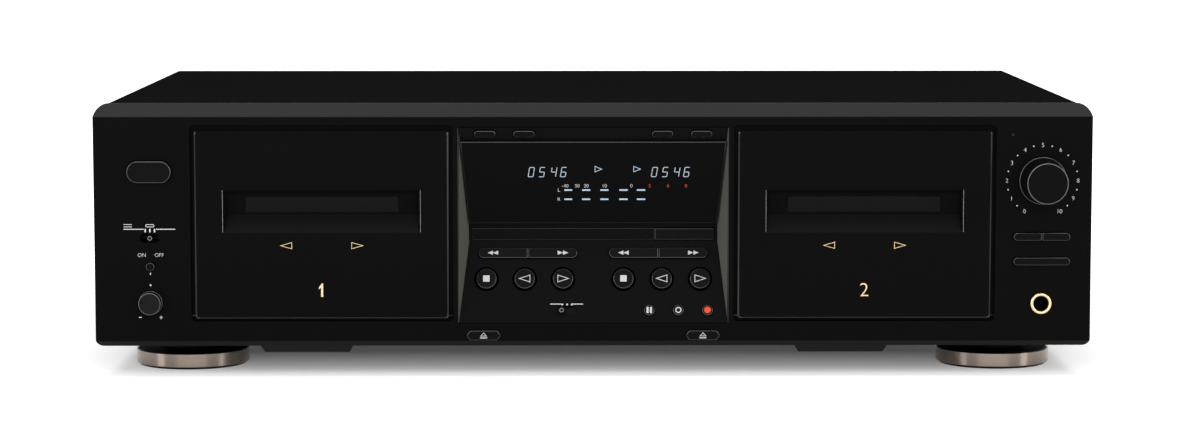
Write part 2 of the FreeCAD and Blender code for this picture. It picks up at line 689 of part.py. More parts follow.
# Slide switches: a nub in a slot, on a slider that closes the slot from behind
def slider(name, x, deep, height, slope, wall, nub):
    """A slide switch about the middle of its nub, behind a wall of the given thickness."""
    body = new_body(name)
    front = wall + size("slider_gap")
    plate = new_sketch(body, "XZ_Plane", -(front + size("slider_thick")))
    half_wide, half_tall = size("slider_width") / 2, size("slider_tall") / 2
    rectangle(plate, -half_wide, -half_tall, half_wide, half_tall)
    pad(body, plate, size("slider_thick"))
    stem = new_sketch(body, "XZ_Plane", -front)
    circle(stem, 0, 0, size(nub))
    pad(body, stem, front + size("nub_rise"))
    place(body, x, face + deep, height, slope)


slider("direction_switch", left_column, 0, size("direction_height"), 0.0, size("panel_thick"), "small_nub")
filter_rest = size("filter_middle") - (size("slot_width") / 2 - size("nub_radius") - key_gap)
slider("noise_reduction_switch", filter_rest, field_deep(size("filter_height")), size("filter_height"),
       field_slope, size("field_skin"), "nub_radius")


# Knobs: skirted caps with their own shafts, each marked by a small dimple
def knob(name, x, height, base, front, skirt, rise, mark):
    """A knob about its own axis, with its mark at an angle clockwise from the top."""
    body = new_body(name)
    shaft, gap = size("shaft_radius"), size("knob_gap")
    half = new_sketch(body, "XY_Plane")
    polygon(half, (0, size("shaft_reach")), (0, -rise), (front, -rise), (front, -skirt - gap),
            (base, -skirt - gap), (base, -gap), (shaft, -gap), (shaft, size("shaft_reach")))
    turn(body, half)
    dimple = new_sketch(body, "XZ_Plane", rise)
    angle = math.radians(numbers[f"{mark}_mark_angle"])
    offset = size(f"{mark}_mark_offset")
    across, up = offset * round(math.sin(angle), 6), offset * round(math.cos(angle), 6)
    circle(dimple, across, up, size(f"{mark}_mark_radius"))
    pocket(body, dimple, size("mark_deep"))
    place(body, x, face, height)


knob("rec_level_knob", right_column, size("level_height"), size("level_base"), size("level_front"),
     size("level_skirt"), size("level_rise"), "level")
knob("pitch_knob", left_column, size("tempo_height"), size("tempo_radius"), size("tempo_cap"),
     size("tempo_skirt"), size("tempo_rise"), "tempo")

# Headphone socket: a turned bush with a blind bore for the plug
socket = new_body("phones_jack")
half = new_sketch(socket, "XY_Plane")
bore, ring, barrel = size("phones_bore"), size("phones_ring"), size("phones_barrel")
polygon(half, (bore, -size("phones_rise")), (ring, -size("phones_rise")), (ring, 0), (barrel, 0),
        (barrel, size("phones_reach")), (0, size("phones_reach")), (0, size("phones_blind")),
        (bore, size("phones_blind")))
turn(socket, half)
place(socket, right_column, face, size("phones_height"))

# Level lamp: a small lens that stands just proud of its own hole
lamp = new_body("level_lamp")
lens_end = new_sketch(lamp, "XZ_Plane", -size("lamp_long"))
circle(lens_end, 0, 0, size("lamp_radius"))
pad(lamp, lens_end, size("lamp_long") + size("lamp_rise"))
place(lamp, right_column + size("lamp_offset"), face, size("lamp_height"))

# Cassette doors, their panes and their holders
door_back = size("door_thick") - size("door_proud")
door_front = -size("door_proud")
door_half = size("door_width") / 2
fold_rise = size("brow_height") - size("fold_height")
fold_run = size("fold_deep") - size("brow_deep")
fold_slope = math.degrees(math.atan2(fold_run.number, fold_rise.number))


def on_fold(height):
    """A height of the window's upper face as a distance up that face from the fold."""
    return along(size(height), size("fold_height"), fold_slope)


def pane_outline(sketch, gap):
    """The clear pane's outline on the window's upper face, or its opening."""
    half = size("pane_width") / 2 - gap
    rectangle(sketch, -half, on_fold("pane_low") + gap, half, on_fold("pane_high") - gap)


def cassette_door(letter, centre):
    """The door: a plate with a folded window recess and two trunnions at its foot."""
    body = new_body(f"cassette_door_{letter}")
    outline = new_sketch(body, "XZ_Plane", -door_back)
    rectangle(outline, -door_half, size("door_bottom"), door_half, size("door_top"))
    plate = pad(body, outline, size("door_thick"))
    front = door_front.number
    names = edges(plate, lambda box: abs(box.YMin - front) < 1e-4 and abs(box.YMax - front) < 1e-4)
    dress(body, "Chamfer", names, size("door_edge"))
    wall = size("window_wall")
    box_half = size("window_width") / 2 + wall
    box = new_sketch(body, "XZ_Plane", -(size("fold_deep") + wall))
    rectangle(box, -box_half, size("window_bottom") - wall, box_half, size("window_top") + wall)
    pad(body, box, size("fold_deep") + wall - door_back)
    folds = new_sketch(body, "YZ_Plane")
    polygon(folds, (-spare, size("window_top")), (door_front, size("window_top")),
            (size("brow_deep"), size("brow_height")), (size("fold_deep"), size("fold_height")),
            (door_front, size("window_bottom")), (-spare, size("window_bottom")))
    recess = pocket(body, folds, size("window_width"), Midplane=True)
    side = size("window_width").number / 2
    names = edges(recess, lambda box: (abs(box.YMin - front) < 1e-4 and abs(box.YMax - front) < 1e-4
                                       and abs(abs(box.XMin) - side) < 1e-3 and box.XLength < 1e-3))
    dress(body, "Chamfer", names, size("window_chamfer"))
    opening = new_sketch(body, "XZ_Plane", -size("fold_deep"), fold_slope, (0, size("fold_height")))
    pane_outline(opening, 0.0)
    pocket(body, opening, through, Midplane=True)
    reach = size("rebate_width") / 2 + size("trunnion_reach")
    length = reach - door_half + size("trunnion_root")
    for hand in (-1, 1):
        rod = new_sketch(body, "YZ_Plane", reach * hand)
        circle(rod, size("hinge_deep"), size("hinge_height"), size("trunnion_radius"))
        pad(body, rod, length, Reversed=hand > 0)
    place(body, centre, face)


def door_window(letter, centre):
    """The clear pane, let flush into the window's upper face."""
    body = new_body(f"door_window_{letter}")
    sketch = new_sketch(body, "XZ_Plane", -size("fold_deep"), fold_slope, (0, size("fold_height")))
    pane_outline(sketch, size("pane_gap"))
    pad(body, sketch, size("pane_thick"), Reversed=True)
    place(body, centre, face)


def cassette_holder(letter, centre):
    """The holder behind the door: two rails joined by an apron, open above, behind and under the heads."""
    body = new_body(f"cassette_holder_{letter}")
    inner = size("cassette_width") / 2 + size("holder_gap") / 2
    outer = inner + size("holder_wall")
    rear = size("holder_back") + size("rail_thick")
    rest = size("cassette_bottom") - size("rest_drop")
    above = size("holder_top") + spare
    outline = new_sketch(body, "XZ_Plane", -rear)
    rectangle(outline, -outer, size("holder_bottom"), outer, size("holder_top"))
    pad(body, outline, rear - door_back)
    rail = inner - size("holder_rail")
    cuts = (
        (size("holder_view"), size("apron_top"), above, door_back, size("holder_front")),
        (inner, rest, above, size("holder_front"), size("holder_back")),
        (rail, rest, above, size("holder_back"), rear + spare),
        (size("head_way"), size("holder_bottom") - spare, rest, size("holder_front"), rear + spare),
    )
    for half, low, high, near, far in cuts:
        cut = new_sketch(body, "XZ_Plane", -near)
        rectangle(cut, -half, low, half, high)
        pocket(body, cut, far - near)
    place(body, centre, face)


# Tape mechanisms: a plate with capstans and motor, reel spindles and a rising head block
def tape_mechanism(letter, centre):
    """The mechanism's fixed part: plate, foot, bearings, capstans and the motor."""
    body = new_body(f"tape_mechanism_{letter}")
    front = size("plate_front")
    back = front + size("plate_thick")
    half = size("plate_width") / 2
    outline = new_sketch(body, "XZ_Plane", -back)
    rectangle(outline, -half, size("plate_bottom"), half, size("plate_top"))
    pad(body, outline, size("plate_thick"))
    foot = new_sketch(body, "XY_Plane", size("plate_bottom"))
    rectangle(foot, -half, front, half, front + size("foot_flange"))
    pad(body, foot, size("plate_thick"))
    spindles = [size("spindle_offset") * side for side in (-1, 1)]
    motor = new_sketch(body, "XZ_Plane", -back)
    circle(motor, 0, size("plate_top") - size("motor_drop"), size("motor_radius"))
    pad(body, motor, size("motor_deep"), Reversed=True)
    bores = new_sketch(body, "XZ_Plane", -front)
    for x in spindles:
        circle(bores, x, size("spindle_height"), size("hub_shaft") + size("bearing_gap"))
    pocket(body, bores, size("plate_thick") + spare)
    capstans = new_sketch(body, "XZ_Plane", -front)
    for x in spindles:
        circle(capstans, x, size("capstan_height"), size("capstan_radius"))
    pad(body, capstans, size("capstan_reach"))
    place(body, centre, face)


def reel_hub(name, x):
    """A reel spindle: a nosed barrel with driving fins, on a shaft that runs in the plate."""
    body = new_body(name)
    half = new_sketch(body, "XY_Plane")
    barrel, nose, shaft = size("hub_barrel"), size("hub_nose"), size("hub_shaft")
    stand, reach, tail = size("hub_stand"), size("hub_reach"), size("hub_tail")
    shoulder = reach - size("hub_nose_long")
    polygon(half, (0, tail), (0, -reach), (nose, -reach), (nose, -shoulder), (barrel, -shoulder),
            (barrel, -stand), (shaft, -stand), (shaft, tail))
    turn(body, half)
    fin = new_sketch(body, "XZ_Plane", stand)
    half_fin = size("hub_fin_thick") / 2
    rectangle(fin, barrel - size("fin_root"), -half_fin, size("hub_fin"), half_fin)
    tooth = pad(body, fin, shoulder - stand)
    ring = body.newObject("PartDesign::PolarPattern", f"{name}_fins")
    ring.Originals = [tooth]
    axis = next(item for item in body.Origin.OriginFeatures if item.Role == "Y_Axis")
    ring.Axis = (axis, [""])
    ring.Angle = 360.0
    ring.Occurrences = int(numbers["hub_teeth"])
    body.Tip = ring
    place(body, x, face + size("plate_front"), size("spindle_height"))


def head_block(letter, centre):
    """The head block: a base with the tape head, two guides and two pinch rollers."""
    body = new_body(f"head_block_{letter}")
    back = size("plate_front") - size("head_gap")
    front = back - size("head_deep")
    half = size("head_half")
    base = new_sketch(body, "XY_Plane", size("head_bottom"))
    rectangle(base, -half, front, half, back)
    pad(body, base, size("head_plate"))
    top = size("head_bottom") + size("head_plate")
    inset = size("head_inset")
    half_head = size("head_width") / 2
    head = new_sketch(body, "XY_Plane", top)
    rectangle(head, -half_head, front + inset, half_head, back - spare)
    block = pad(body, head, size("head_tall"))
    crown = top.number + size("head_tall").number
    names = edges(block, lambda box: abs(box.ZMin - crown) < 1e-4 and box.XLength < 1e-4)
    dress(body, "Fillet", names, size("head_round"))
    guides = new_sketch(body, "XY_Plane", top)
    for side in (-1, 1):
        inside = size("guide_inner") * side
        outside = size("guide_outer") * side
        left, right = (inside, outside) if side > 0 else (outside, inside)
        rectangle(guides, left, front + inset, right, back - spare)
    pad(body, guides, size("head_tall") - spare)
    rollers = new_sketch(body, "XZ_Plane", -(back - spare))
    roller_height = top + size("roller_radius") - size("roller_sink")
    for side in (-1, 1):
        circle(rollers, size("roller_offset") * side, roller_height, size("roller_radius"))
    pad(body, rollers, size("head_deep") - spare - inset)
    place(body, centre, face)


for letter, centre in decks:
    cassette_door(letter, centre)
    door_window(letter, centre)
    cassette_holder(letter, centre)
    tape_mechanism(letter, centre)
    head_block(letter, centre)
    for hand, side in (("left", -1), ("right", 1)):
        reel_hub(f"reel_hub_{letter}_{hand}", centre + size("spindle_offset") * side)

# Feet: stepped front feet, each with a metal trim ring, and plain rear feet
def group(name, items):
    """Like pieces that share one name, each still a solid of its own."""
    item = doc.addObject("Part::Compound", name)
    item.Label = name
    item.Links = items
    made.append(item)
    return item


def cylinder(name, radius, height):
    """A plain cylinder standing on its own origin."""
    item = doc.addObject("Part::Cylinder", name)
    item.setExpression("Radius", measure(radius).formula)
    item.setExpression("Height", measure(height).formula)
    return item


foot_core = size("foot_radius") - size("foot_trim")
front_feet, rings, rear_feet = [], [], []
for side in (-1, 1):
    x = size("foot_offset") * side
    tiers = ((foot_core, 0, size("foot_step")),
             (size("foot_neck"), size("foot_step"), size("chassis_bottom")))
    stack = doc.addObject("Part::MultiFuse", "front_foot")
    tier_parts = []
    for radius, low, high in tiers:
        tier = cylinder("foot_tier", radius, measure(high) - low)
        place(tier, x, face + size("foot_behind"), low)
        tier_parts.append(tier)
    stack.Shapes = tier_parts
    front_feet.append(stack)
    outer = cylinder("ring_outside", size("foot_radius"), size("foot_step") - size("foot_pad"))
    place(outer, x, face + size("foot_behind"), size("foot_pad"))
    inner = cylinder("ring_inside", foot_core, size("foot_step") - size("foot_pad"))
    place(inner, x, face + size("foot_behind"), size("foot_pad"))
    ring = doc.addObject("Part::Cut", "ring")
    ring.Base, ring.Tool = outer, inner
    rings.append(ring)
    foot = cylinder("rear_foot", size("rear_foot_radius"), size("chassis_bottom"))
    place(foot, x, face + size("rear_foot_behind"))
    rear_feet.append(foot)
group("front_feet", front_feet)
group("foot_rings", rings)
group("rear_feet", rear_feet)

# Bottom chassis: a folded tray with two pressed wells and a low front lip
chassis = new_body("bottom_chassis")
place(chassis, y=face)
half = size("chassis_width") / 2
sheet_thick = size("sheet_thick")
tray = new_sketch(chassis, "XY_Plane", size("chassis_bottom"))
rectangle(tray, -half, size("chassis_front"), half, size("chassis_back"))
pad(chassis, tray, size("chassis_flange") + sheet_thick)
inside = new_sketch(chassis, "XY_Plane", size("chassis_bottom") + size("chassis_flange") + sheet_thick)
rectangle(inside, -half + sheet_thick, size("chassis_front") + sheet_thick, half - sheet_thick,
          size("chassis_back") - sheet_thick)
pocket(chassis, inside, size("chassis_flange"))
lip = new_sketch(chassis, "XZ_Plane", -(size("chassis_front") - spare))
rectangle(lip, -half + sheet_thick, size("lip_top"), half - sheet_thick,
          size("chassis_bottom") + size("chassis_flange") + spare)
pocket(chassis, lip, spare + sheet_thick)


def well(kind, centre, inset, top, bottom):
    """A tapered outline pair for one pressed well, outside or inside."""
    x = centre + size("well_shift")
    draft = (size("well_width") - size("well_floor")) / 2
    half = size("well_width") / 2 - inset
    front = size("well_front") + inset
    rear = size("well_front") + size("well_length") - inset
    wedge(chassis, kind, "Z", (-top, x - half, front, x + half, rear),
          (-bottom, x - half + draft, front + draft, x + half - draft, rear - draft))


for _, centre in decks:
    well_bottom = size("chassis_bottom") - size("well_drop")
    well("AdditiveWedge", centre, 0.0, size("chassis_bottom"), well_bottom)
    well("SubtractiveWedge", centre, sheet_thick, size("chassis_bottom") + sheet_thick,
         well_bottom + sheet_thick)

# Top cover: one folded sheet, top and two sides
cover = new_body("top_cover")
place(cover, y=face)
half = size("cover_width") / 2
low, high = size("panel_bottom"), size("panel_top")
section = new_sketch(cover, "XZ_Plane", -size("cover_back"))
polygon(section, (-half, low), (-half + sheet_thick, low), (-half + sheet_thick, high - sheet_thick),
        (half - sheet_thick, high - sheet_thick), (half - sheet_thick, low), (half, low), (half, high),
        (-half, high))
pad(cover, section, size("cover_back") - size("cover_front"))
for drop, radius in ((0.0, size("cover_bend")), (sheet_thick.number, size("cover_bend") - sheet_thick)):
    reach, level = half.number - drop, high.number - drop
    names = edges(cover.Tip, lambda box: (abs(abs(box.XMin) - reach) < 1e-4 and box.XLength < 1e-4
                                          and abs(box.ZMin - level) < 1e-4 and box.ZLength < 1e-4))
    dress(cover, "Fillet", names, radius)

# Rear panel: a flat sheet with openings for the line sockets and the cord gland
rear = new_body("rear_panel")
place(rear, y=face)
half = size("rear_width") / 2
sheet_outline = new_sketch(rear, "XZ_Plane", -size("rear_face"))
rectangle(sheet_outline, -half, size("rear_bottom"), half, size("rear_top"))
pad(rear, sheet_outline, sheet_thick)
half_pitch = size("line_pitch") / 2
line_places = [(size("line_middle") + half_pitch * across, size("line_height") + half_pitch * up)
               for up in (-1, 1) for across in (-1, 1)]
rear_holes = new_sketch(rear, "XZ_Plane", -(size("rear_face") - spare))
opening = size("line_face") / 2 + key_gap
rectangle(rear_holes, size("line_middle") - opening, size("line_height") - opening,
          size("line_middle") + opening, size("line_height") + opening)
circle(rear_holes, size("gland_offset"), size("gland_height"), size("gland_radius") + size("gland_fit"))
pocket(rear, rear_holes, spare + sheet_thick)

# Line sockets: four sleeves on one block that shows through the rear panel
line = new_body("line_jacks")
place(line, y=face)
half = size("line_block") / 2
seat = size("rear_face") - sheet_thick
block = new_sketch(line, "XZ_Plane", -seat)
rectangle(block, size("line_middle") - half, size("line_height") - half, size("line_middle") + half,
          size("line_height") + half)
pad(line, block, size("line_block_deep"))
shown = new_sketch(line, "XZ_Plane", -seat)
half = size("line_face") / 2
rectangle(shown, size("line_middle") - half, size("line_height") - half, size("line_middle") + half,
          size("line_height") + half)
pad(line, shown, sheet_thick, Reversed=True)
sleeves = new_sketch(line, "XZ_Plane", -size("rear_face"))
for x, z in line_places:
    circle(sleeves, x, z, size("line_radius"))
pad(line, sleeves, size("line_reach"), Reversed=True)
sleeve_bores = new_sketch(line, "XZ_Plane", -(size("rear_face") + size("line_reach")))
for x, z in line_places:
    circle(sleeve_bores, x, z, size("line_bore"))
pocket(line, sleeve_bores, size("line_reach"), Reversed=True)

# Cord gland: a flanged bush in the rear panel
gland = new_body("cord_gland")
half = new_sketch(gland, "XY_Plane")
bore, flange, rise = size("gland_bore"), size("gland_flange"), size("gland_rise")
polygon(half, (bore, -size("gland_reach")), (size("gland_radius"), -size("gland_reach")),
        (size("gland_radius"), 0), (flange, 0), (flange, rise), (bore, rise))
turn(gland, half)
place(gland, size("gland_offset"), face + size("rear_face"), size("gland_height"))

# Circuit board on four stands, with its larger components
board = new_body("main_circuit_board")
place(board, size("board_left"), face + size("board_front"))
wide, long = size("board_width"), size("board_length")
slab = new_sketch(board, "XY_Plane", size("board_height"))
rectangle(slab, 0, 0, wide, long)
pad(board, slab, size("board_thick"))
floor_level = size("chassis_bottom") + sheet_thick
stands = new_sketch(board, "XY_Plane", floor_level)
margin = size("stand_inset")
for x in (margin, wide - margin):
    for y in (margin, long - margin):
        post = size("stand_half")
        rectangle(stands, x - post, y - post, x + post, y + post)
pad(board, stands, size("board_height") - floor_level)
surface = size("board_height") + size("board_thick")
cans = new_sketch(board, "XY_Plane", surface)
for step in range(2):
    circle(cans, size("can_first") + size("can_pitch") * step, size("can_row"), size("can_radius"))
pad(board, cans, size("can_tall"))
chips = new_sketch(board, "XY_Plane", surface)
for step in range(4):
    left, front = size("chip_first") + size("chip_pitch") * step, size("chip_row")
    rectangle(chips, left, front, left + size("chip_long"), front + size("chip_wide"))
pad(board, chips, size("chip_tall"))

# Power transformer: a laminated core with its winding
supply = new_body("power_transformer")
place(supply, size("core_left"), face + size("core_front"), floor_level)
core = new_sketch(supply, "XY_Plane")
rectangle(core, 0, 0, size("core_width"), size("core_length"))
pad(supply, core, size("core_height"))
winding = new_sketch(supply, "XY_Plane", size("coil_wall"))
bulge = size("coil_wall")
rectangle(winding, bulge, -bulge, size("core_width") - bulge, size("core_length") + bulge)
pad(supply, winding, size("core_height") - bulge * 2)

# Cover screws: the heads of two screws in each side of the cover
screws = []
for side in (-1, 1):
    for y in (size("screw_front"), size("screw_back")):
        head = cylinder("screw_head", size("screw_head"), size("screw_crown"))
        place(head, size("cover_width") / 2 * side, face + y, size("screw_height"))
        head.Placement.Rotation = Rotation(Vector(0, 0, 1), Vector(side, 0, 0))
        screws.append(head)
group("cover_screws", screws)

# Checks, then one file per part
doc.recompute()
for item in doc.Objects:
    if "Invalid" in item.State or "Error" in item.State:
        raise RuntimeError(f"{item.Name} failed: {item.State}")
for item in made:
    if item.Shape.isNull() or not item.Shape.isValid():
        raise RuntimeError(f"{item.Label} has no valid shape")

os.makedirs("parts", exist_ok=True)
for item in made:
    item.Shape.exportStep(f"parts/{item.Label}.step")
print(f"{len(made)} parts")
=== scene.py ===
import json
import math

import bmesh
import bpy
from mathutils import Matrix, Vector


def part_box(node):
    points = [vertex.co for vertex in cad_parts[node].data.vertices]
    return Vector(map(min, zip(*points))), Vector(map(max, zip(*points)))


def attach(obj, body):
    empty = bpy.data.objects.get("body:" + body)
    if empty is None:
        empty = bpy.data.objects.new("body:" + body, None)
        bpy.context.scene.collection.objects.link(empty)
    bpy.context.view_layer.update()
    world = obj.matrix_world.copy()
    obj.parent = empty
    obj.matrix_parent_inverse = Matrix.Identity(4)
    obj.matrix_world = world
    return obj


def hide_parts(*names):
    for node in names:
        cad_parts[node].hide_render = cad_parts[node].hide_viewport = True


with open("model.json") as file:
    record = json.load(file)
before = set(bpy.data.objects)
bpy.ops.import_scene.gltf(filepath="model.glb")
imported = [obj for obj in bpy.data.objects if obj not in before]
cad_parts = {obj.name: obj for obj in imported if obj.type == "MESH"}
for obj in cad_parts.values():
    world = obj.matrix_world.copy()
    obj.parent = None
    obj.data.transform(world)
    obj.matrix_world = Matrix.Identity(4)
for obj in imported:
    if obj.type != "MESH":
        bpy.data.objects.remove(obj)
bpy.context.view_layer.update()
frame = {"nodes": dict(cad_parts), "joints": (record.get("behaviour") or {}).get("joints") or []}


# The deck stands on a wide sheet of matt white board, in a pale room that is plain white to the eye and in
# reflections. A tall softbox lights each side, a wide one stands before it and another hangs above it.
def wired(tree, kind, sockets=(), **settings):
    """A new node with its settings made, and its sockets filled with values or joined to other nodes."""
    node = tree.nodes.new(kind)
    for setting, value in settings.items():
        setattr(node, setting, value)
    for socket, value in dict(sockets).items():
        if isinstance(value, bpy.types.NodeSocket):
            tree.links.new(value, node.inputs[socket])
        else:
            node.inputs[socket].default_value = value
    return node


def seen_directly(tree):
    """One for a ray from the eye, a glossy surface or glass, and nought for the light that falls."""
    path = wired(tree, "ShaderNodeLightPath")
    seen = path.outputs["Is Camera Ray"]
    for ray in ("Is Glossy Ray", "Is Transmission Ray"):
        joined = wired(tree, "ShaderNodeMath", {0: seen, 1: path.outputs[ray]}, operation="MAXIMUM")
        seen = joined.outputs[0]
    return seen


def softbox(name, place, aim, width, tall, power):
    """A rectangular softbox that looks at a point."""
    lamp = bpy.data.lights.new(name, "AREA")
    lamp.shape = "RECTANGLE"
    lamp.size = width
    lamp.size_y = tall
    lamp.energy = power
    stand = bpy.data.objects.new(name, lamp)
    stand.location = place
    stand.rotation_euler = (Vector(aim) - Vector(place)).to_track_quat("-Z", "Y").to_euler()
    bpy.context.scene.collection.objects.link(stand)


room_light = 0.42
room = bpy.data.worlds.new("pale_room")
room.use_nodes = True
bpy.context.scene.world = room
room_glow = wired(room.node_tree, "ShaderNodeMapRange",
                  {"Value": seen_directly(room.node_tree), "To Min": room_light})
room_air = room.node_tree.nodes["Background"]
room_air.inputs["Color"].default_value = (1.0, 1.0, 1.0, 1.0)
room.node_tree.links.new(room_glow.outputs["Result"], room_air.inputs["Strength"])

softbox("left_softbox", place=(-1.7, -0.9, 0.6), aim=(-0.1, -0.1, 0.05), width=0.5, tall=1.2, power=12.0)
softbox("right_softbox", place=(1.7, -0.9, 0.6), aim=(0.1, -0.1, 0.05), width=0.5, tall=1.2, power=12.0)
softbox("front_softbox", place=(0.0, -2.0, 0.95), aim=(0.0, -0.1, 0.0), width=2.6, tall=1.7, power=34.0)
softbox("top_softbox", place=(0.0, -0.1, 2.2), aim=(0.0, 0.0, 0.0), width=2.2, tall=1.0, power=28.0)

# The board glows for the eye and in reflections. Inside a rectangle round the deck the glow drops to a low
# share and rises again over a short fade outside it, so the board is darker round and under the deck: a
# painted shadow, over the shadow that the lamps cast.
board_half = 8.0
fibre_scale = 30.0
board_dull = 0.86
board_pale = 0.88
shade_half = (0.16, 0.05, 10.0)
shade_fade = 0.28
glow_in_painted_shadow = 0.06
board_mesh = bpy.data.meshes.new("white_board")
board_corners = [(-board_half, -board_half, 0.0), (board_half, -board_half, 0.0),
                 (board_half, board_half, 0.0), (-board_half, board_half, 0.0)]
board_mesh.from_pydata(board_corners, [], [(0, 1, 2, 3)])
white_board = bpy.data.objects.new("white_board", board_mesh)
bpy.context.scene.collection.objects.link(white_board)
board_paint = bpy.data.materials.new("matt_white_board")
board_paint.use_nodes = True
board_tree = board_paint.node_tree
board_tree.nodes.clear()
board_place = wired(board_tree, "ShaderNodeTexCoord").outputs["Object"]
board_fibre = wired(board_tree, "ShaderNodeTexNoise",
                    {"Vector": board_place, "Scale": fibre_scale, "Detail": 3.0})
board_white = wired(board_tree, "ShaderNodeMapRange",
                    {"Value": board_fibre.outputs["Fac"], "To Min": board_dull, "To Max": board_pale})
board_matt = wired(board_tree, "ShaderNodeBsdfDiffuse", {"Color": board_white.outputs["Result"]})
board_side = wired(board_tree, "ShaderNodeVectorMath", {0: board_place}, operation="ABSOLUTE")
past_deck = wired(board_tree, "ShaderNodeVectorMath", {0: board_side.outputs["Vector"], 1: shade_half},
                  operation="SUBTRACT")
beside_deck = wired(board_tree, "ShaderNodeVectorMath", {0: past_deck.outputs["Vector"], 1: (0.0, 0.0, 0.0)},
                    operation="MAXIMUM")
from_deck = wired(board_tree, "ShaderNodeVectorMath", {0: beside_deck.outputs["Vector"]}, operation="LENGTH")
board_away = wired(board_tree, "ShaderNodeMapRange",
                   {"Value": from_deck.outputs["Value"], "From Max": shade_fade, "To Min": glow_in_painted_shadow,
                    "To Max": 1.0})
board_lift = wired(board_tree, "ShaderNodeMath",
                   {0: seen_directly(board_tree), 1: board_away.outputs["Result"]}, operation="MULTIPLY")
board_light = wired(board_tree, "ShaderNodeEmission", {"Strength": board_lift.outputs[0]})
board_sum = wired(board_tree, "ShaderNodeAddShader", {0: board_matt.outputs[0], 1: board_light.outputs[0]})
wired(board_tree, "ShaderNodeOutputMaterial", {"Surface": board_sum.outputs[0]})
board_mesh.materials.append(board_paint)

lens_view = bpy.data.cameras.new("studio_camera")
lens_view.sensor_width = 36.0
lens_view.lens = 97.93
studio_camera = bpy.data.objects.new("studio_camera", lens_view)
studio_camera.location = (-0.00693, -1.52872, 0.21023)
camera_dip = math.radians(5.7918)
camera_turn = math.radians(-0.4023)
studio_camera.rotation_euler = (math.pi / 2 - camera_dip, 0.0, camera_turn)
bpy.context.scene.collection.objects.link(studio_camera)
bpy.context.scene.camera = studio_camera
bpy.context.scene.view_settings.view_transform = "Standard"


# The front panel is one moulding in black plastic, with a sloped band along its top, a chamfer under its
# chin and a shallow round-cornered rebate round each door. A fine spark grain covers it, and the band and
# the chamfer are satin. They are also painted a lighter grey than the rest: painted light on faces that tilt
# up or down.
mm = 0.001
cloud_scale = 16.0
shine_swing = 0.08
weld = 0.002 * mm
sharp_turn = 35.0
sweep_steps = 8
fine_crease = 15.0


def linear(*levels):
    """A colour given as it looks, from 0 to 255 in each channel or one grey level, as light."""
    shares = [level / 255.0 for level in levels] * (3 // len(levels))
    light = [share / 12.92 if share <= 0.04045 else ((share + 0.055) / 1.055) ** 2.4 for share in shares]
    return (*light, 1.0)


def grained(name, colour, roughness, grain, relief, gloss, drift=0.1, metal=0.0):
    """A moulded or painted skin. Its grain, of a given size and relief, dulls the shine in places, and its
    colour drifts slowly by a share."""
    skin = bpy.data.materials.new(name)
    skin.use_nodes = True
    tree = skin.node_tree
    shader = tree.nodes["Principled BSDF"]
    place = wired(tree, "ShaderNodeTexCoord").outputs["Object"]
    cloud = wired(tree, "ShaderNodeTexNoise", {"Vector": place, "Scale": cloud_scale, "Detail": 3.0})
    tone = wired(tree, "ShaderNodeValToRGB", {"Fac": cloud.outputs["Fac"]})
    for stop, share in zip(tone.color_ramp.elements, (1.0 - drift, 1.0 + drift)):
        stop.color = (*[channel * share for channel in colour[:3]], 1.0)
    spark = wired(tree, "ShaderNodeTexNoise", {"Vector": place, "Scale": 1.0 / grain, "Detail": 4.0})
    dull = wired(tree, "ShaderNodeMapRange",
                 {"Value": spark.outputs["Fac"], "To Min": roughness - shine_swing,
                  "To Max": roughness + shine_swing})
    skin_relief = wired(tree, "ShaderNodeBump", {"Height": spark.outputs["Fac"], "Distance": relief})
    tree.links.new(tone.outputs["Color"], shader.inputs["Base Color"])
    tree.links.new(dull.outputs["Result"], shader.inputs["Roughness"])
    tree.links.new(skin_relief.outputs["Normal"], shader.inputs["Normal"])
    shader.inputs["Specular IOR Level"].default_value = gloss
    shader.inputs["Metallic"].default_value = metal
    return skin


def fitted(name, mesh, skins, body, stands_for=(), crease=fine_crease):
    """A finished piece of the deck on the body that carries it, shaded smooth up to a crease in degrees."""
    mesh.name = name
    for skin in skins:
        mesh.materials.append(skin)
    mesh.shade_smooth()
    mesh.set_sharp_from_angle(angle=math.radians(crease))
    piece = bpy.data.objects.new(name, mesh)
    bpy.context.scene.collection.objects.link(piece)
    shading = piece.modifiers.new("even_shading", "WEIGHTED_NORMAL")
    shading.keep_sharp = True
    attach(piece, body)
    if stands_for:
        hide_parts(*stands_for)
    return piece


def corner_edges(cast, spots, reach=0.3 * mm):
    """The edges of a casting that run from front to back at the given places across and up."""
    found = []
    for edge in cast.edges:
        along = edge.verts[1].co - edge.verts[0].co
        if abs(along.y) < 0.5 * along.length:
            continue
        middle = (edge.verts[0].co + edge.verts[1].co) / 2
        if any(abs(middle.x - x) < reach and abs(middle.z - z) < reach for x, z in spots):
            found.append(edge)
    return found


def eased(node, ease, spots=(), sweep=0.0, shortest=0.6 * mm, rim=0):
    """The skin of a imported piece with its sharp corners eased, after those at the given spots are swept
    round. Edges too short to ease stay as they are, and the eased strips take the skin numbered rim."""
    cast = bmesh.new()
    cast.from_mesh(frame["nodes"][node].data)
    bmesh.ops.remove_doubles(cast, verts=cast.verts, dist=weld)
    if spots:
        bmesh.ops.bevel(cast, geom=corner_edges(cast, spots), offset=sweep, segments=sweep_steps, profile=0.5,
                        affect="EDGES")
    sharp = [edge for edge in cast.edges if edge.is_manifold and edge.calc_length() > shortest
             and edge.calc_face_angle() > math.radians(sharp_turn)]
    if ease:
        bmesh.ops.bevel(cast, geom=sharp, offset=ease, segments=2, profile=0.5, affect="EDGES", material=rim)
    mesh = bpy.data.meshes.new(node)
    cast.to_mesh(mesh)
    cast.free()
    return mesh


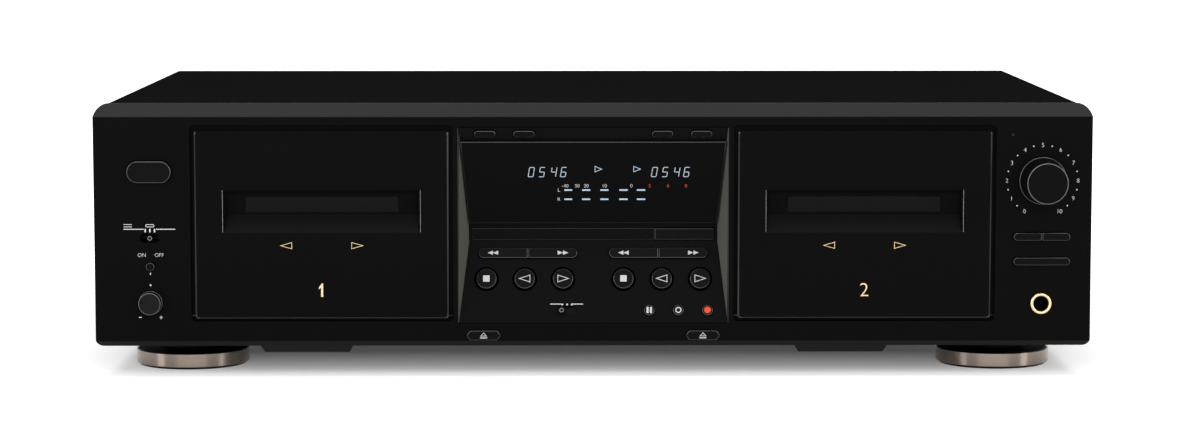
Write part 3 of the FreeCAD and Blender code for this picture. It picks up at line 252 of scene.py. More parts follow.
black_plastic = grained("black_spark_plastic", linear(6), 0.46, 0.35 * mm, 0.006 * mm, 0.02)
band_satin_painted_light = grained("band_satin_painted_light_plastic", linear(13, 13, 12), 0.36, 0.35 * mm, 0.004 * mm, 0.05)
deck_middle = 117.0 * mm
rebate_half = 56.5 * mm
rebate_low = 24.3 * mm
rebate_high = 109.3 * mm
rebate_sweep = 2.0 * mm
least_forward = 0.1
least_aside = 0.3
band_lean = 0.25
rebate_corners = [(side * deck_middle + hand * rebate_half, z)
                  for side in (-1, 1) for hand in (-1, 1) for z in (rebate_low, rebate_high)]
panel_mesh = eased("front_panel", 0.0, rebate_corners, rebate_sweep)
# Forward faces that tilt up or down take the band's lighter grey, which is painted light.
for face in panel_mesh.polygons:
    leans = abs(face.normal.z) > band_lean and abs(face.normal.x) < least_aside
    if leans and face.normal.y < -least_forward:
        face.material_index = 1
fitted("front_moulding", panel_mesh, [black_plastic, band_satin_painted_light], "case", ["front_panel"])


# The centre insert is a moulding of its own, snapped into the panel: a drafted well whose upper slope
# carries the display and whose lower slope carries the keys, between two smooth cheeks of the same plastic.
# The cheeks are painted light grey: painted light, for the side light that falls on them.
insert_plastic = grained("insert_satin_plastic", linear(9), 0.5, 0.3 * mm, 0.005 * mm, 0.02)
cheek_painted_light = grained("cheek_grey_painted_light", linear(78, 78, 74), 0.4, 0.25 * mm, 0.003 * mm, 0.1, drift=0.2)
insert_ease = 0.15 * mm
cheek_foot = 53.5 * mm
cheek_flange = 57.6 * mm
cheek_inside = 60.0 * mm
cheek_lean = 0.9
most_slanted = 0.95
insert_mesh = eased("centre_panel", insert_ease)
# Inward faces of the cheeks and slanted faces of the flange take the light grey painted light.
for face in insert_mesh.polygons:
    reach = abs(face.center.x)
    inward = -face.normal.x * math.copysign(1.0, face.center.x)
    if inward > cheek_lean and cheek_foot < reach < cheek_inside and face.normal.y < -least_forward:
        face.material_index = 1
    slanted = least_aside < abs(face.normal.x) < most_slanted
    if reach > cheek_flange and slanted and face.normal.y < -least_aside:
        face.material_index = 1
fitted("centre_moulding", insert_mesh, [insert_plastic, cheek_painted_light], "case",
       ["centre_panel"])


# The display is one pane of smoked acrylic, polished and snapped on to the upper slope. Its eased edges
# are painted a lighter grey, as a painted highlight. The counters and the level meter glow through it, and
# its scale is printed on it in white and red.
def facing(origin, outward):
    """A place on a face of the deck, whose own X runs across, Y up the face and Z out of it."""
    across = Vector((1.0, 0.0, 0.0))
    out = Vector(outward).normalized()
    place = Matrix((across, out.cross(across), out)).transposed().to_4x4()
    place.translation = origin
    return place


def front_of(node, outward):
    """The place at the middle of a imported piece's front, with its width, height and depth."""
    turn = facing((0.0, 0.0, 0.0), outward).to_3x3()
    spots = [turn.transposed() @ vertex.co for vertex in frame["nodes"][node].data.vertices]
    low = Vector([min(spot[axis] for spot in spots) for axis in range(3)])
    high = Vector([max(spot[axis] for spot in spots) for axis in range(3)])
    middle = (low + high) / 2
    size = high - low
    return facing(turn @ Vector((middle.x, middle.y, high.z)), outward), size.x, size.y, size.z


def way_out(joint_name):
    """The direction in which a key's front faces, against the joint's own press."""
    joint = next(joint for joint in frame["joints"] if joint["name"] == joint_name)
    return -Vector(joint["axis"])


def height_on(place, height):
    """How far up a face a height above the table lies, from the face's own middle."""
    return (height - place.translation.z) / place.col[1].z


ink_lift = 0.03 * mm
ink_root = 0.02 * mm
type_thinning = -0.014


def walled(cast, ring, following):
    """The faces made between two rings that have as many corners."""
    count = len(ring)
    pairs = [(near, (near + 1) % count) for near in range(count)]
    return [cast.faces.new((ring[near], ring[far], following[far], following[near])) for near, far in pairs]


def add_mark(ink, place, outline):
    """A filled shape of ink on a face."""
    under = [ink.verts.new(place @ Vector((x, y, -ink_root))) for x, y in outline]
    over = [ink.verts.new(place @ Vector((x, y, ink_lift))) for x, y in outline]
    ink.faces.new(over)
    ink.faces.new(under[::-1])
    walled(ink, under, over)


def add_line_round(ink, place, outer, inner):
    """A shape of ink drawn as a line: the band between two outlines with as many corners."""
    layers = [[ink.verts.new(place @ Vector((x, y, z))) for x, y in outline]
              for outline, z in ((outer, -ink_root), (outer, ink_lift), (inner, ink_lift),
                                 (inner, -ink_root))]
    for layer, following in zip(layers, layers[1:] + layers[:1]):
        walled(ink, layer, following)


def add_words(ink, place, words, x, y, tall):
    """Plain figures or letters of a given height, centred on a spot."""
    type_set = bpy.data.curves.new("type", "FONT")
    type_set.body = words
    type_set.extrude = 0.5
    type_set.resolution_u = 4
    type_set.offset = type_thinning
    cast = bpy.data.objects.new("type", type_set)
    mesh = bpy.data.meshes.new_from_object(cast)
    corners = [vertex.co for vertex in mesh.vertices]
    left, right = min(c.x for c in corners), max(c.x for c in corners)
    foot, head = min(c.y for c in corners), max(c.y for c in corners)
    scale = tall / (head - foot)
    across = (left + right) / 2
    up = (foot + head) / 2
    for corner in corners:
        lift = ink_lift if corner.z > 0.0 else -ink_root
        corner.xyz = (x + (corner.x - across) * scale, y + (corner.y - up) * scale, lift)
    mesh.transform(place)
    ink.from_mesh(mesh)
    bpy.data.objects.remove(cast)
    bpy.data.curves.remove(type_set)
    bpy.data.meshes.remove(mesh)


def box_outline(left, foot, right, top):
    """The four corners of an upright rectangle."""
    return [(left, foot), (right, foot), (right, top), (left, top)]


def add_box(ink, place, left, foot, right, top):
    """An upright rectangle of ink."""
    add_mark(ink, place, box_outline(left, foot, right, top))


def pointer(x, y, wide, tall):
    """A triangle that points right, or left where its width is negative, about its own middle."""
    near, tip = x - wide / 2, x + wide / 2
    corners = [(near, y - tall / 2), (tip, y), (near, y + tall / 2)]
    return corners if wide > 0 else corners[::-1]


def shrunk(corners, line):
    """A convex outline moved inward by the width of a line."""
    count = len(corners)
    moved = []
    for here in range(count):
        before = Vector(corners[here]) - Vector(corners[here - 1])
        after = Vector(corners[(here + 1) % count]) - Vector(corners[here])
        before.normalize()
        after.normalize()
        bisector = Vector((-before.y, before.x)) + Vector((-after.y, after.x))
        reach = line / (1.0 + before.dot(after))
        moved.append(tuple(Vector(corners[here]) + bisector * reach))
    return moved


def inked(name, colour, glow=0.0):
    """Printing ink or a lit filament: slightly uneven in tone, and matt."""
    ink = grained(name, colour, 0.6, 0.2 * mm, 0.002 * mm, 0.1, drift=0.06)
    shader = ink.node_tree.nodes["Principled BSDF"]
    shader.inputs["Emission Color"].default_value = colour
    shader.inputs["Emission Strength"].default_value = glow
    return ink


round_crease = 35.0


def laid(name, ink, colour, body, crease=round_crease):
    """Printing taken off its plate and laid on the piece that carries it."""
    mesh = bpy.data.meshes.new(name)
    ink.to_mesh(mesh)
    ink.free()
    fitted(name, mesh, [colour], body, crease=crease)


smoked_black = grained("smoked_black_acrylic", linear(3), 0.16, 0.5 * mm, 0.001 * mm, 0.03)
painted_lens_edge_highlight = grained("black_lens_edge_painted_highlight", linear(34), 0.25, 0.25 * mm, 0.001 * mm, 0.3)
display_ease = 0.3 * mm
# The pane's eased edges take the lighter grey of a painted highlight.
fitted("display_pane", eased("display_lens", display_ease, rim=1), [smoked_black, painted_lens_edge_highlight], "case",
       ["display_lens"])
lens_front = front_of("display_lens", way_out("memory_a_press"))[0]

segments = {"a": (0, 2, 1, 2), "b": (1, 2, 1, 1), "c": (1, 1, 1, 0), "d": (0, 0, 1, 0),
            "e": (0, 1, 0, 0), "f": (0, 2, 0, 1), "g": (0, 1, 1, 1)}
lit_segments = {"0": "abcdef", "4": "bcfg", "5": "acdfg", "6": "acdefg"}
digit_wide = 2.1 * mm
digit_tall = 4.3 * mm
digit_places = (-7.1 * mm, -2.5 * mm, 2.6 * mm, 6.8 * mm)
digit_lean = 0.16
segment_thick = 0.3 * mm
segment_gap = 0.08 * mm
counter_height = 88.7 * mm
counter_places = (-19.6 * mm, 33.5 * mm)


def add_digit(ink, place, digit, x, y):
    """A leaning digit of seven segments with mitred ends."""
    for letter in lit_segments[digit]:
        from_x, from_y, to_x, to_y = segments[letter]
        start = Vector((x + (from_x - 0.5) * digit_wide, y + (from_y / 2 - 0.5) * digit_tall))
        stop = Vector((x + (to_x - 0.5) * digit_wide, y + (to_y / 2 - 0.5) * digit_tall))
        along = (stop - start).normalized()
        side = Vector((-along.y, along.x)) * segment_thick / 2
        tip = along * segment_thick / 2
        bar = [start + along * segment_gap, start + tip - side, stop - tip - side, stop - along * segment_gap,
               stop - tip + side, start + tip + side]
        add_mark(ink, place, [(spot.x + (spot.y - y) * digit_lean, spot.y) for spot in bar])


lit = bmesh.new()
counter_y = height_on(lens_front, counter_height)
for counter_place in counter_places:
    for digit_place, digit in zip(digit_places, "0546"):
        add_digit(lit, lens_front, digit, counter_place + digit_place, counter_y)
way_arrow_wide = 3.3 * mm
way_arrow_tall = 2.9 * mm
way_arrow_line = 0.24 * mm
way_arrow_height = 90.0 * mm
way_arrow_places = (2.3 * mm, 19.0 * mm)
way_arrow_y = height_on(lens_front, way_arrow_height)
for arrow_x in way_arrow_places:
    arrow = pointer(arrow_x, way_arrow_y, way_arrow_wide, way_arrow_tall)
    add_line_round(lit, lens_front, arrow, shrunk(arrow, way_arrow_line))
meter_bars = [(-12.5, -9.1), (-4.8, -1.3), (3.1, 6.6), (11.3, 14.9), (18.9, 22.5)]
meter_rows = (80.7 * mm, 76.6 * mm)
bar_half = 0.34 * mm
for row in meter_rows:
    row_y = height_on(lens_front, row)
    for start, stop in meter_bars:
        add_box(lit, lens_front, start * mm, row_y - bar_half, stop * mm, row_y + bar_half)
display_blue = inked("pale_blue_glow", linear(136, 150, 162), glow=0.8)
laid("display_glow", lit, display_blue, "case", fine_crease)

white_scale = [("-40", -12.1), ("30", -6.9), ("20", -3.0), ("10", 5.0), ("0", 16.5)]
red_scale = [("3", 24.3), ("6", 32.4), ("8", 40.1)]
scale_height = 82.6 * mm
scale_y = height_on(lens_front, scale_height)
scale_tall = 1.5 * mm
channel_x = -14.8 * mm
scale_print = bmesh.new()
for words, x in white_scale:
    add_words(scale_print, lens_front, words, x * mm, scale_y, scale_tall)
for words, row in zip("LR", meter_rows):
    add_words(scale_print, lens_front, words, channel_x, height_on(lens_front, row), scale_tall)
scale_white = inked("white_pad_ink", linear(190))
laid("display_scale", scale_print, scale_white, "case", fine_crease)
peak_print = bmesh.new()
for words, x in red_scale:
    add_words(peak_print, lens_front, words, x * mm, scale_y, scale_tall)
peak_red = inked("red_pad_ink", linear(190, 70, 50))
laid("display_peaks", peak_print, peak_red, "case", fine_crease)


# Each cassette door is a moulded plate with a folded window recess, hung on two trunnions at its foot. A
# smoked pane is let into the recess's upper face, and the deck's marks are printed under it in gold. The
# recess's upward lower face is painted a little lighter as painted light, and the door's side and bottom
# edges and the recess's slanted sides are painted lighter grey as painted highlights.
door_plastic = grained("black_door_plastic", linear(6), 0.44, 0.35 * mm, 0.005 * mm, 0.02)
lip_painted_light = grained("window_lip_painted_light", linear(9), 0.4, 0.35 * mm, 0.004 * mm, 0.04)
edge_painted_highlight = grained("door_edge_painted_highlight", linear(44), 0.3, 0.25 * mm, 0.001 * mm, 0.3)
window_recess_painted_highlight = grained("window_edge_painted_highlight", linear(165), 0.3, 0.25 * mm, 0.001 * mm, 0.3)
gold_ink = inked("gold_pad_ink", linear(222, 196, 150))
smoked_glass = grained("smoked_window_acrylic", linear(22), 0.03, 4.0 * mm, 0.0001 * mm, 0.04)
glass_shader = smoked_glass.node_tree.nodes["Principled BSDF"]
glass_shader.inputs["Transmission Weight"].default_value = 0.7
glass_shader.inputs["IOR"].default_value = 1.16
straight_out = (0.0, -1.0, 0.0)
door_half = 54.6 * mm
door_low = 25.6 * mm
door_high = 106.9 * mm
door_sweep = 1.3 * mm
door_ease = 0.12 * mm
door_shortest = 0.3 * mm
door_margin = 0.6 * mm
pane_ease = 0.1 * mm
fold_height = 70.0 * mm
window_low = 62.9 * mm
window_half = 41.5 * mm
recess_near = 42.4 * mm
recess_far = 43.6 * mm
recess_sliver = 6.0 * mm * mm
arrow_height = 57.3 * mm
arrow_reach = 15.4 * mm
arrow_wide = 5.2 * mm
arrow_tall = 3.0 * mm
arrow_line = 0.2 * mm
number_height = 38.0 * mm
number_tall = 5.8 * mm
figure_one = [(-0.45, -0.5), (0.45, -0.5), (0.45, 0.5), (-0.1, 0.5), (-1.35, 0.2), (-1.35, 0.06),
              (-0.45, 0.2)]
for side, letter in ((-1, "a"), (1, "b")):
    node = f"cassette_door_{letter}"
    body = f"door_{letter}"
    middle = side * deck_middle
    corners = [(middle + hand * door_half, z) for hand in (-1, 1) for z in (door_low, door_high)]
    door_mesh = eased(node, door_ease, corners, door_sweep, shortest=door_shortest)
    # Masks: the recess's lower face takes painted light, the outer edges and the recess's sides painted
    # highlights.
    for face in door_mesh.polygons:
        reach = abs(face.center.x - middle)
        lip = window_low < face.center.z < fold_height and face.normal.z > least_aside
        if lip and reach < window_half and face.normal.y < -least_forward:
            face.material_index = 1
        aside = abs(face.normal.x) > least_aside
        slanted = least_aside < -face.normal.y < most_slanted
        outer = reach > door_half - door_margin or face.center.z < door_low + door_margin
        if slanted and outer and (aside or face.normal.z < -least_aside):
            face.material_index = 2
        if slanted and aside and face.area < recess_sliver and recess_near < reach < recess_far:
            face.material_index = 3
    fitted(f"door_moulding_{letter}", door_mesh, [door_plastic, lip_painted_light, edge_painted_highlight, window_recess_painted_highlight], body,
           [node])
    fitted(f"door_pane_{letter}", eased(f"door_window_{letter}", pane_ease), [smoked_glass], body,
           [f"door_window_{letter}"])
    door_front = facing((middle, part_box(node)[0].y, 0.0), straight_out)
    gold = bmesh.new()
    for hand in (-1, 1):
        arrow = pointer(hand * arrow_reach, arrow_height, hand * arrow_wide, arrow_tall)
        add_line_round(gold, door_front, arrow, shrunk(arrow, arrow_line))
    if letter == "a":
        add_mark(gold, door_front, [(x * mm, number_height + y * number_tall) for x, y in figure_one])
    else:
        add_words(gold, door_front, "2", 0.0, number_height, number_tall)
    laid(f"door_marks_{letter}", gold, gold_ink, body, crease=fine_crease)


# The transport keys and the three small recording keys are round caps of black plastic with a rolled
# edge, two bands of which are painted a lighter grey as a painted highlight. Each stands a millimetre proud
# in a way of its own, and its printed sign travels with it.
key_plastic = grained("black_key_plastic", linear(8), 0.36, 0.3 * mm, 0.003 * mm, 0.03)
key_rim_painted_highlight = grained("painted_highlight_key_rim", linear(30), 0.24, 0.25 * mm, 0.001 * mm, 0.6)
key_white = inked("white_key_ink", linear(176))
key_red = inked("red_key_ink", linear(196, 70, 38))
edge_rolls = 5
key_highlight_bands = (3, 4)


def skinned(layers, rims=()):
    """A closed skin over stacked outlines that have as many corners each, from the back to the front. The
    bands numbered in rims take the piece's second skin."""
    skin = bmesh.new()
    rings = [[skin.verts.new(spot) for spot in layer] for layer in layers]
    for band, (ring, following) in enumerate(zip(rings, rings[1:])):
        for side in walled(skin, ring, following):
            side.material_index = int(band in rims)
    skin.faces.new(rings[0][::-1])
    skin.faces.new(rings[-1])
    mesh = bpy.data.meshes.new("skin")
    skin.to_mesh(mesh)
    skin.free()
    return mesh


def disc_outline(radius, inset=0.0, steps=72):
    """A circle moved in by an inset."""
    return [((radius - inset) * math.cos(2 * math.pi * step / steps),
             (radius - inset) * math.sin(2 * math.pi * step / steps)) for step in range(steps)]


def capped(place, outline, deep, edge):
    """A key cap: its outline runs forward, rolls over a round edge, and ends in a flat front."""
    layers = [(outline(0.0), -deep)]
    for roll in range(edge_rolls + 1):
        angle = math.pi / 2 * roll / edge_rolls
        layers.append((outline(edge * (1.0 - math.cos(angle))), -edge * (1.0 - math.sin(angle))))
    return skinned([[place @ Vector((x, y, z)) for x, y in outline_at] for outline_at, z in layers],
                   key_highlight_bands)


def key_fitted(node, cap):
    """A key's cap on the key's own body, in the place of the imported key."""
    # The cap's rolled edge takes the painted highlight in its second skin.
    fitted(f"{node}_cap", cap, [key_plastic, key_rim_painted_highlight], node, [node], round_crease)


round_edge = 0.45 * mm
stop_half = 1.4 * mm
reverse_wide = 5.2 * mm
reverse_tall = 3.5 * mm
reverse_shift = 0.2 * mm
sign_line = 0.3 * mm
sign_steps = 36
pause_reach = 0.72 * mm
pause_half_wide = 0.45 * mm
pause_half_tall = 1.35 * mm
mute_outside = 1.35 * mm
mute_inside = 0.85 * mm
record_radius = 1.45 * mm


def stop_sign(ink, place):
    """A filled square."""
    add_box(ink, place, -stop_half, -stop_half, stop_half, stop_half)


def play_sign(ink, place, hand=1):
    """An open arrowhead that points right, or left for the other direction."""
    arrow = pointer(reverse_shift * hand, 0.0, reverse_wide * hand, reverse_tall)
    add_line_round(ink, place, arrow, shrunk(arrow, sign_line))


def pause_sign(ink, place):
    """Two bars."""
    for hand in (-1, 1):
        middle = hand * pause_reach
        add_box(ink, place, middle - pause_half_wide, -pause_half_tall, middle + pause_half_wide,
                pause_half_tall)


def mute_sign(ink, place):
    """A ring."""
    add_line_round(ink, place, disc_outline(mute_outside, steps=sign_steps),
                   disc_outline(mute_inside, steps=sign_steps))


def record_sign(ink, place):
    """A red spot."""
    add_mark(ink, place, disc_outline(record_radius, steps=sign_steps))


signs = {"stop": stop_sign, "reverse": lambda ink, place: play_sign(ink, place, -1), "play": play_sign,
         "pause": pause_sign, "rec_mute": mute_sign, "record": record_sign}
round_keys = [(f"{word}_button_{letter}", f"{word}_{letter}_press", word)
              for letter in "ab" for word in ("stop", "reverse", "play")]
round_keys += [(f"{word}_button", f"{word}_press", word) for word in ("pause", "rec_mute", "record")]
for node, joint, word in round_keys:
    place, wide, _, deep = front_of(node, way_out(joint))
    cap = capped(place, lambda inset: disc_outline(wide / 2, inset), deep, round_edge)
    key_fitted(node, cap)
    sign = bmesh.new()
    signs[word](sign, place)
    laid(f"{node}_sign", sign, key_red if word == "record" else key_white, node)


# The search keys lie over the transport keys in pairs: flat bars of the same plastic, each rounded at its
# outer end and square where it meets its neighbour, with a double arrowhead printed on it.
square_corner = 0.35 * mm
search_edge = 0.4 * mm
search_wide = 2.3 * mm
search_tall = 1.9 * mm
search_reach = 4.4 * mm


def pill_outline(wide, tall, inset, left_round=True, right_round=True, steps=20):
    """A key's outline with round or square ends, moved in by an inset."""
    radius = tall / 2 - inset
    reach = wide / 2 - tall / 2
    outline = []
    for hand, is_round in ((1, right_round), (-1, left_round)):
        for step in range(steps + 1):
            angle = math.pi * step / steps - math.pi / 2 + (0 if hand > 0 else math.pi)
            if is_round:
                outline.append((hand * reach + radius * math.cos(angle), radius * math.sin(angle)))
            else:
                corner_x = wide / 2 - inset - square_corner
                corner_y = radius - square_corner
                end_x = hand * corner_x + square_corner * math.cos(angle)
                end_y = math.copysign(corner_y, math.sin(angle)) + square_corner * math.sin(angle)
                outline.append((end_x, end_y))
    return outline


for letter in "ab":
    for word, hand in (("rewind", -1), ("forward", 1)):
        node = f"{word}_button_{letter}"
        place, wide, tall, deep = front_of(node, way_out(f"{word}_{letter}_press"))
        cap = capped(place, lambda inset: pill_outline(wide, tall, inset, hand < 0, hand > 0), deep,
                     search_edge)
        key_fitted(node, cap)
        sign = bmesh.new()
        for step in (-0.5, 0.5):
            tip_x = hand * search_reach + step * search_wide
            add_mark(sign, place, pointer(tip_x, 0.0, hand * search_wide, search_tall))
        laid(f"{node}_sign", sign, key_white, node)


# Two small round-ended keys over each counter set its memory and reset it. They are moulded like the others
# and are bare.
counter_key_edge = 0.35 * mm
for letter in "ab":
    for word in ("memory", "reset"):
        node = f"{word}_button_{letter}"
        place, wide, tall, deep = front_of(node, way_out(f"{word}_{letter}_press"))
        cap = capped(place, lambda inset: pill_outline(wide, tall, inset), deep, counter_key_edge)
        key_fitted(node, cap)


# The keys that stand alone are bare bars of the same plastic: copy speed, power, tempo and synchro. The fader
# and automatic level keys are one bar in two halves, each rounded at its outer end.
power_edge = 0.6 * mm
bar_key_edge = 0.4 * mm
bar_keys = [("dubbing_button", "dubbing_press", False, False), ("power_button", "power_press", True, True),
            ("fader_button", "fader_press", True, False),
            ("auto_level_button", "auto_level_press", False, True),
            ("synchro_button", "synchro_press", True, True),
            ("pitch_switch_button", "pitch_switch_press", True, True)]
for node, joint, left_round, right_round in bar_keys:
    place, wide, tall, deep = front_of(node, way_out(joint))
    edge = power_edge if node == "power_button" else bar_key_edge
    cap = capped(place, lambda inset: pill_outline(wide, tall, inset, left_round, right_round), deep, edge)
    key_fitted(node, cap)


# A plain bar carries the line of the copy speed key on to the left. It is of the insert's own plastic,
# moulded on the slope, and a little lower than the key.
bar_share = 3.07
bar_gap = 0.25 * mm
bar_sink = 0.55 * mm
bar_deep = 0.9 * mm
bar_edge = 0.2 * mm
copy_place, copy_wide, copy_tall, _ = front_of("dubbing_button", way_out("dubbing_press"))
bar_wide = bar_share * copy_wide
bar_place = copy_place @ Matrix.Translation((-(copy_wide + bar_wide) / 2 - bar_gap, 0.0, -bar_sink))
bar_mesh = capped(bar_place, lambda inset: box_outline(-bar_wide / 2 + inset, -copy_tall / 2 + inset,
                                                       bar_wide / 2 - inset, copy_tall / 2 - inset),
                  bar_deep, bar_edge)
# Its rolled edge takes the keys' painted highlight.
fitted("field_bar", bar_mesh, [insert_plastic, key_rim_painted_highlight], "case", crease=round_crease)


# The two eject keys sit low in the panel, under the insert. Each is a low bar of the key plastic whose ends
# run out to blunt points, with a roof over a line printed on it.
eject_shoulder = 1.4 * mm
eject_bend = 0.5 * mm
eject_edge = 0.35 * mm
eject_wide = 3.0 * mm
eject_tall = 1.7 * mm
eject_foot = -0.35 * mm
eject_line = 0.26 * mm
underline_low = -1.25 * mm
underline_high = -0.8 * mm


def eject_outline(wide, tall, inset, rolls=8):
    """The eject keys' outline: a bar whose ends run out to blunt points."""
    half_wide, half_tall = wide / 2 - inset, tall / 2 - inset
    flat = half_wide - eject_shoulder
    corners = [(half_wide, 0.0), (flat, half_tall), (-flat, half_tall), (-half_wide, 0.0),
               (-flat, -half_tall), (flat, -half_tall)]
    outline = []
    for here, corner in enumerate(corners):
        before, after = Vector(corners[here - 1]), Vector(corners[(here + 1) % len(corners)])
        spot = Vector(corner)
        start = spot + (before - spot).normalized() * eject_bend
        stop = spot + (after - spot).normalized() * eject_bend
        for roll in range(rolls + 1):
            share = roll / rolls
            bend = start * (1 - share) ** 2 + spot * 2 * share * (1 - share) + stop * share ** 2
            outline.append((bend.x, bend.y))
    return outline


for letter in "ab":
    node = f"eject_button_{letter}"
    place, wide, tall, deep = front_of(node, way_out(f"eject_{letter}_press"))
    key_fitted(node, capped(place, lambda inset: eject_outline(wide, tall, inset), deep, eject_edge))
    sign = bmesh.new()
    roof = [(-eject_wide / 2, eject_foot), (eject_wide / 2, eject_foot), (0.0, eject_tall + eject_foot)]
    add_line_round(sign, place, roof, shrunk(roof, eject_line))
    add_box(sign, place, -eject_wide / 2, underline_low, eject_wide / 2, underline_high)
    laid(f"{node}_sign", sign, key_white, node)


# Two slide switches choose the tape's direction and the noise reduction. Each has a round nub on a slider
# of key plastic that closes its slot from behind. A grey ring drawn round the nub is a painted highlight of
# its rim, and the slider's eased edges take the keys' painted highlight.
nub_painted_highlight = inked("grey_nub_painted_highlight", linear(120))
nub_ring_radius = 0.95 * mm
nub_ring_line = 0.28 * mm
slider_ease = 0.15 * mm
nub_fronts = {"direction_switch": straight_out, "noise_reduction_switch": way_out("stop_a_press")}
for node, outward in nub_fronts.items():
    fitted(f"{node}_slider", eased(node, slider_ease, rim=1), [key_plastic, key_rim_painted_highlight], node,
           [node], round_crease)
    nub_front = front_of(node, outward)[0]
    nub_ring = bmesh.new()
    add_line_round(nub_ring, nub_front, disc_outline(nub_ring_radius, steps=sign_steps),
                   disc_outline(nub_ring_radius, nub_ring_line, sign_steps))
    laid(f"{node}_ring", nub_ring, nub_painted_highlight, node)


# Two turned knobs set the level and the tempo: a skirt, a cap with a rolled rim and a flat front, and a
# small sunk mark near its edge. The rolled edges of the skirt and the cap are painted light grey as a
# painted highlight. Each is pushed on to its shaft.
knob_plastic = grained("turned_knob_plastic", linear(5), 0.34, 0.25 * mm, 0.003 * mm, 0.03)
knob_face = grained("spun_knob_face", linear(12), 0.34, 0.25 * mm, 0.0005 * mm, 0.07)
knob_rim_painted_highlight = grained("bright_knob_rim_painted_highlight", linear(44), 0.22, 0.25 * mm, 0.001 * mm, 0.8)
quarter_turn = 0.25


def grooved(skin, share, axis):
    """Puts fine turning lines about an axis on a finish, and they draw the light out by a share."""
    tree = skin.node_tree
    shader = tree.nodes["Principled BSDF"]
    shader.inputs["Anisotropic"].default_value = share
    shader.inputs["Anisotropic Rotation"].default_value = quarter_turn
    grooves = wired(tree, "ShaderNodeTangent", direction_type="RADIAL", axis=axis)
    tree.links.new(grooves.outputs["Tangent"], shader.inputs["Tangent"])


def turned(place, profile, steps=96, rims=()):
    """A solid of revolution about a place's own Z, from its back to its front."""
    return skinned([[place @ Vector((x, y, z)) for x, y in disc_outline(radius, steps=steps)]
                    for radius, z in profile], rims)


def rolled(radius, z, edge, rolls=5):
    """The profile of a rolled edge at the front of a turned step."""
    return [(radius - edge * (1.0 - math.cos(math.pi / 2 * roll / rolls)),
             z - edge * (1.0 - math.sin(math.pi / 2 * roll / rolls))) for roll in range(rolls + 1)]


def knob_mesh(place, rise, skirt, skirt_rise, cap, shaft_long, edge, angle, mark_reach, mark, mark_deep):
    """A knob about its own axis whose fine front is pressed in at the mark."""
    profile = [(shaft_radius, -rise - shaft_long), (shaft_radius, -rise + panel_gap)]
    profile += [(skirt, -rise + panel_gap), *rolled(skirt, -rise + skirt_rise, edge)]
    profile += [(cap, -rise + skirt_rise), *rolled(cap, 0.0, edge * cap_edge_share)]
    face = cap - edge * cap_edge_share
    profile += [(face * (1.0 - ring / face_rings), 0.0) for ring in range(1, face_rings)]
    profile.append((face * face_eye, 0.0))
    mesh = turned(Matrix(), profile, rims=knob_highlight_bands)
    mark_x = mark_reach * math.sin(angle)
    mark_y = mark_reach * math.cos(angle)
    for vertex in mesh.vertices:
        if vertex.co.z > -flat_within:
            reach = math.hypot(vertex.co.x - mark_x, vertex.co.y - mark_y) / mark
            vertex.co.z -= mark_deep * max(0.0, 1.0 - reach ** 2)
    mesh.transform(place)
    return mesh


grooved(knob_face, 0.85, "Y")
panel_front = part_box("front_panel")[0].y
shaft_radius = 3.0 * mm
panel_gap = 0.3 * mm
cap_edge_share = 1.6
face_rings = 44
face_eye = 0.01
flat_within = 0.001 * mm
# The bands of the two rolled edges take the painted highlight.
knob_highlight_bands = (5, 6, 13, 14)
level_place, level_wide, _, level_deep = front_of("rec_level_knob", straight_out)
level_rise = panel_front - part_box("rec_level_knob")[0].y
level_mesh = knob_mesh(level_place, level_rise, skirt=level_wide / 2, skirt_rise=2.5 * mm, cap=9.0 * mm,
                       shaft_long=level_deep - level_rise, edge=0.35 * mm, angle=math.radians(-130.0),
                       mark_reach=6.0 * mm, mark=1.15 * mm, mark_deep=0.45 * mm)
fitted("rec_level_cap", level_mesh, [knob_plastic, knob_rim_painted_highlight], "rec_level_knob",
       ["rec_level_knob"], round_crease)
pitch_place, pitch_wide, _, pitch_deep = front_of("pitch_knob", straight_out)
pitch_rise = panel_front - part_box("pitch_knob")[0].y
pitch_mesh = knob_mesh(pitch_place, pitch_rise, skirt=pitch_wide / 2, skirt_rise=1.5 * mm, cap=4.9 * mm,
                       shaft_long=pitch_deep - pitch_rise, edge=0.25 * mm, angle=math.radians(-79.0),
                       mark_reach=3.6 * mm, mark=0.5 * mm, mark_deep=0.35 * mm)
spun_front = 0.97
for face in pitch_mesh.polygons:
    if face.normal.y < -spun_front and face.material_index == 0:
        face.material_index = 2
fitted("pitch_cap", pitch_mesh, [knob_plastic, knob_rim_painted_highlight, knob_face], "pitch_knob",
       ["pitch_knob"], round_crease)


# The legends on the panel and the insert are pad printed in white ink: lines and ticks for the switches,
# signs for the directions, and the figures and dots of the level dial.
panel_white = inked("white_panel_ink", linear(190))
panel_face = facing((0.0, panel_front, 0.0), straight_out)
legend = bmesh.new()
dial_x = level_place.translation.x
dial_height = level_place.translation.z
dial_radius = 15.35 * mm
dial_start = -150.0
dial_step = 30.0
figure_tall = 1.75 * mm
dot_radius = 0.3 * mm
last_figure = 10


def on_dial(degrees):
    """A place on the circle of figures, at an angle from the top."""
    angle = math.radians(degrees)
    return dial_x + dial_radius * math.sin(angle), dial_height + dial_radius * math.cos(angle)


for figure in range(last_figure + 1):
    figure_x, figure_y = on_dial(dial_start + dial_step * figure)
    add_words(legend, panel_face, str(figure), figure_x, figure_y, figure_tall)
    if figure < last_figure:
        dot_x, dot_y = on_dial(dial_start + dial_step * (figure + 0.5))
        dot = [(dot_x + x, dot_y + y) for x, y in disc_outline(dot_radius, steps=16)]
        add_mark(legend, panel_face, dot)

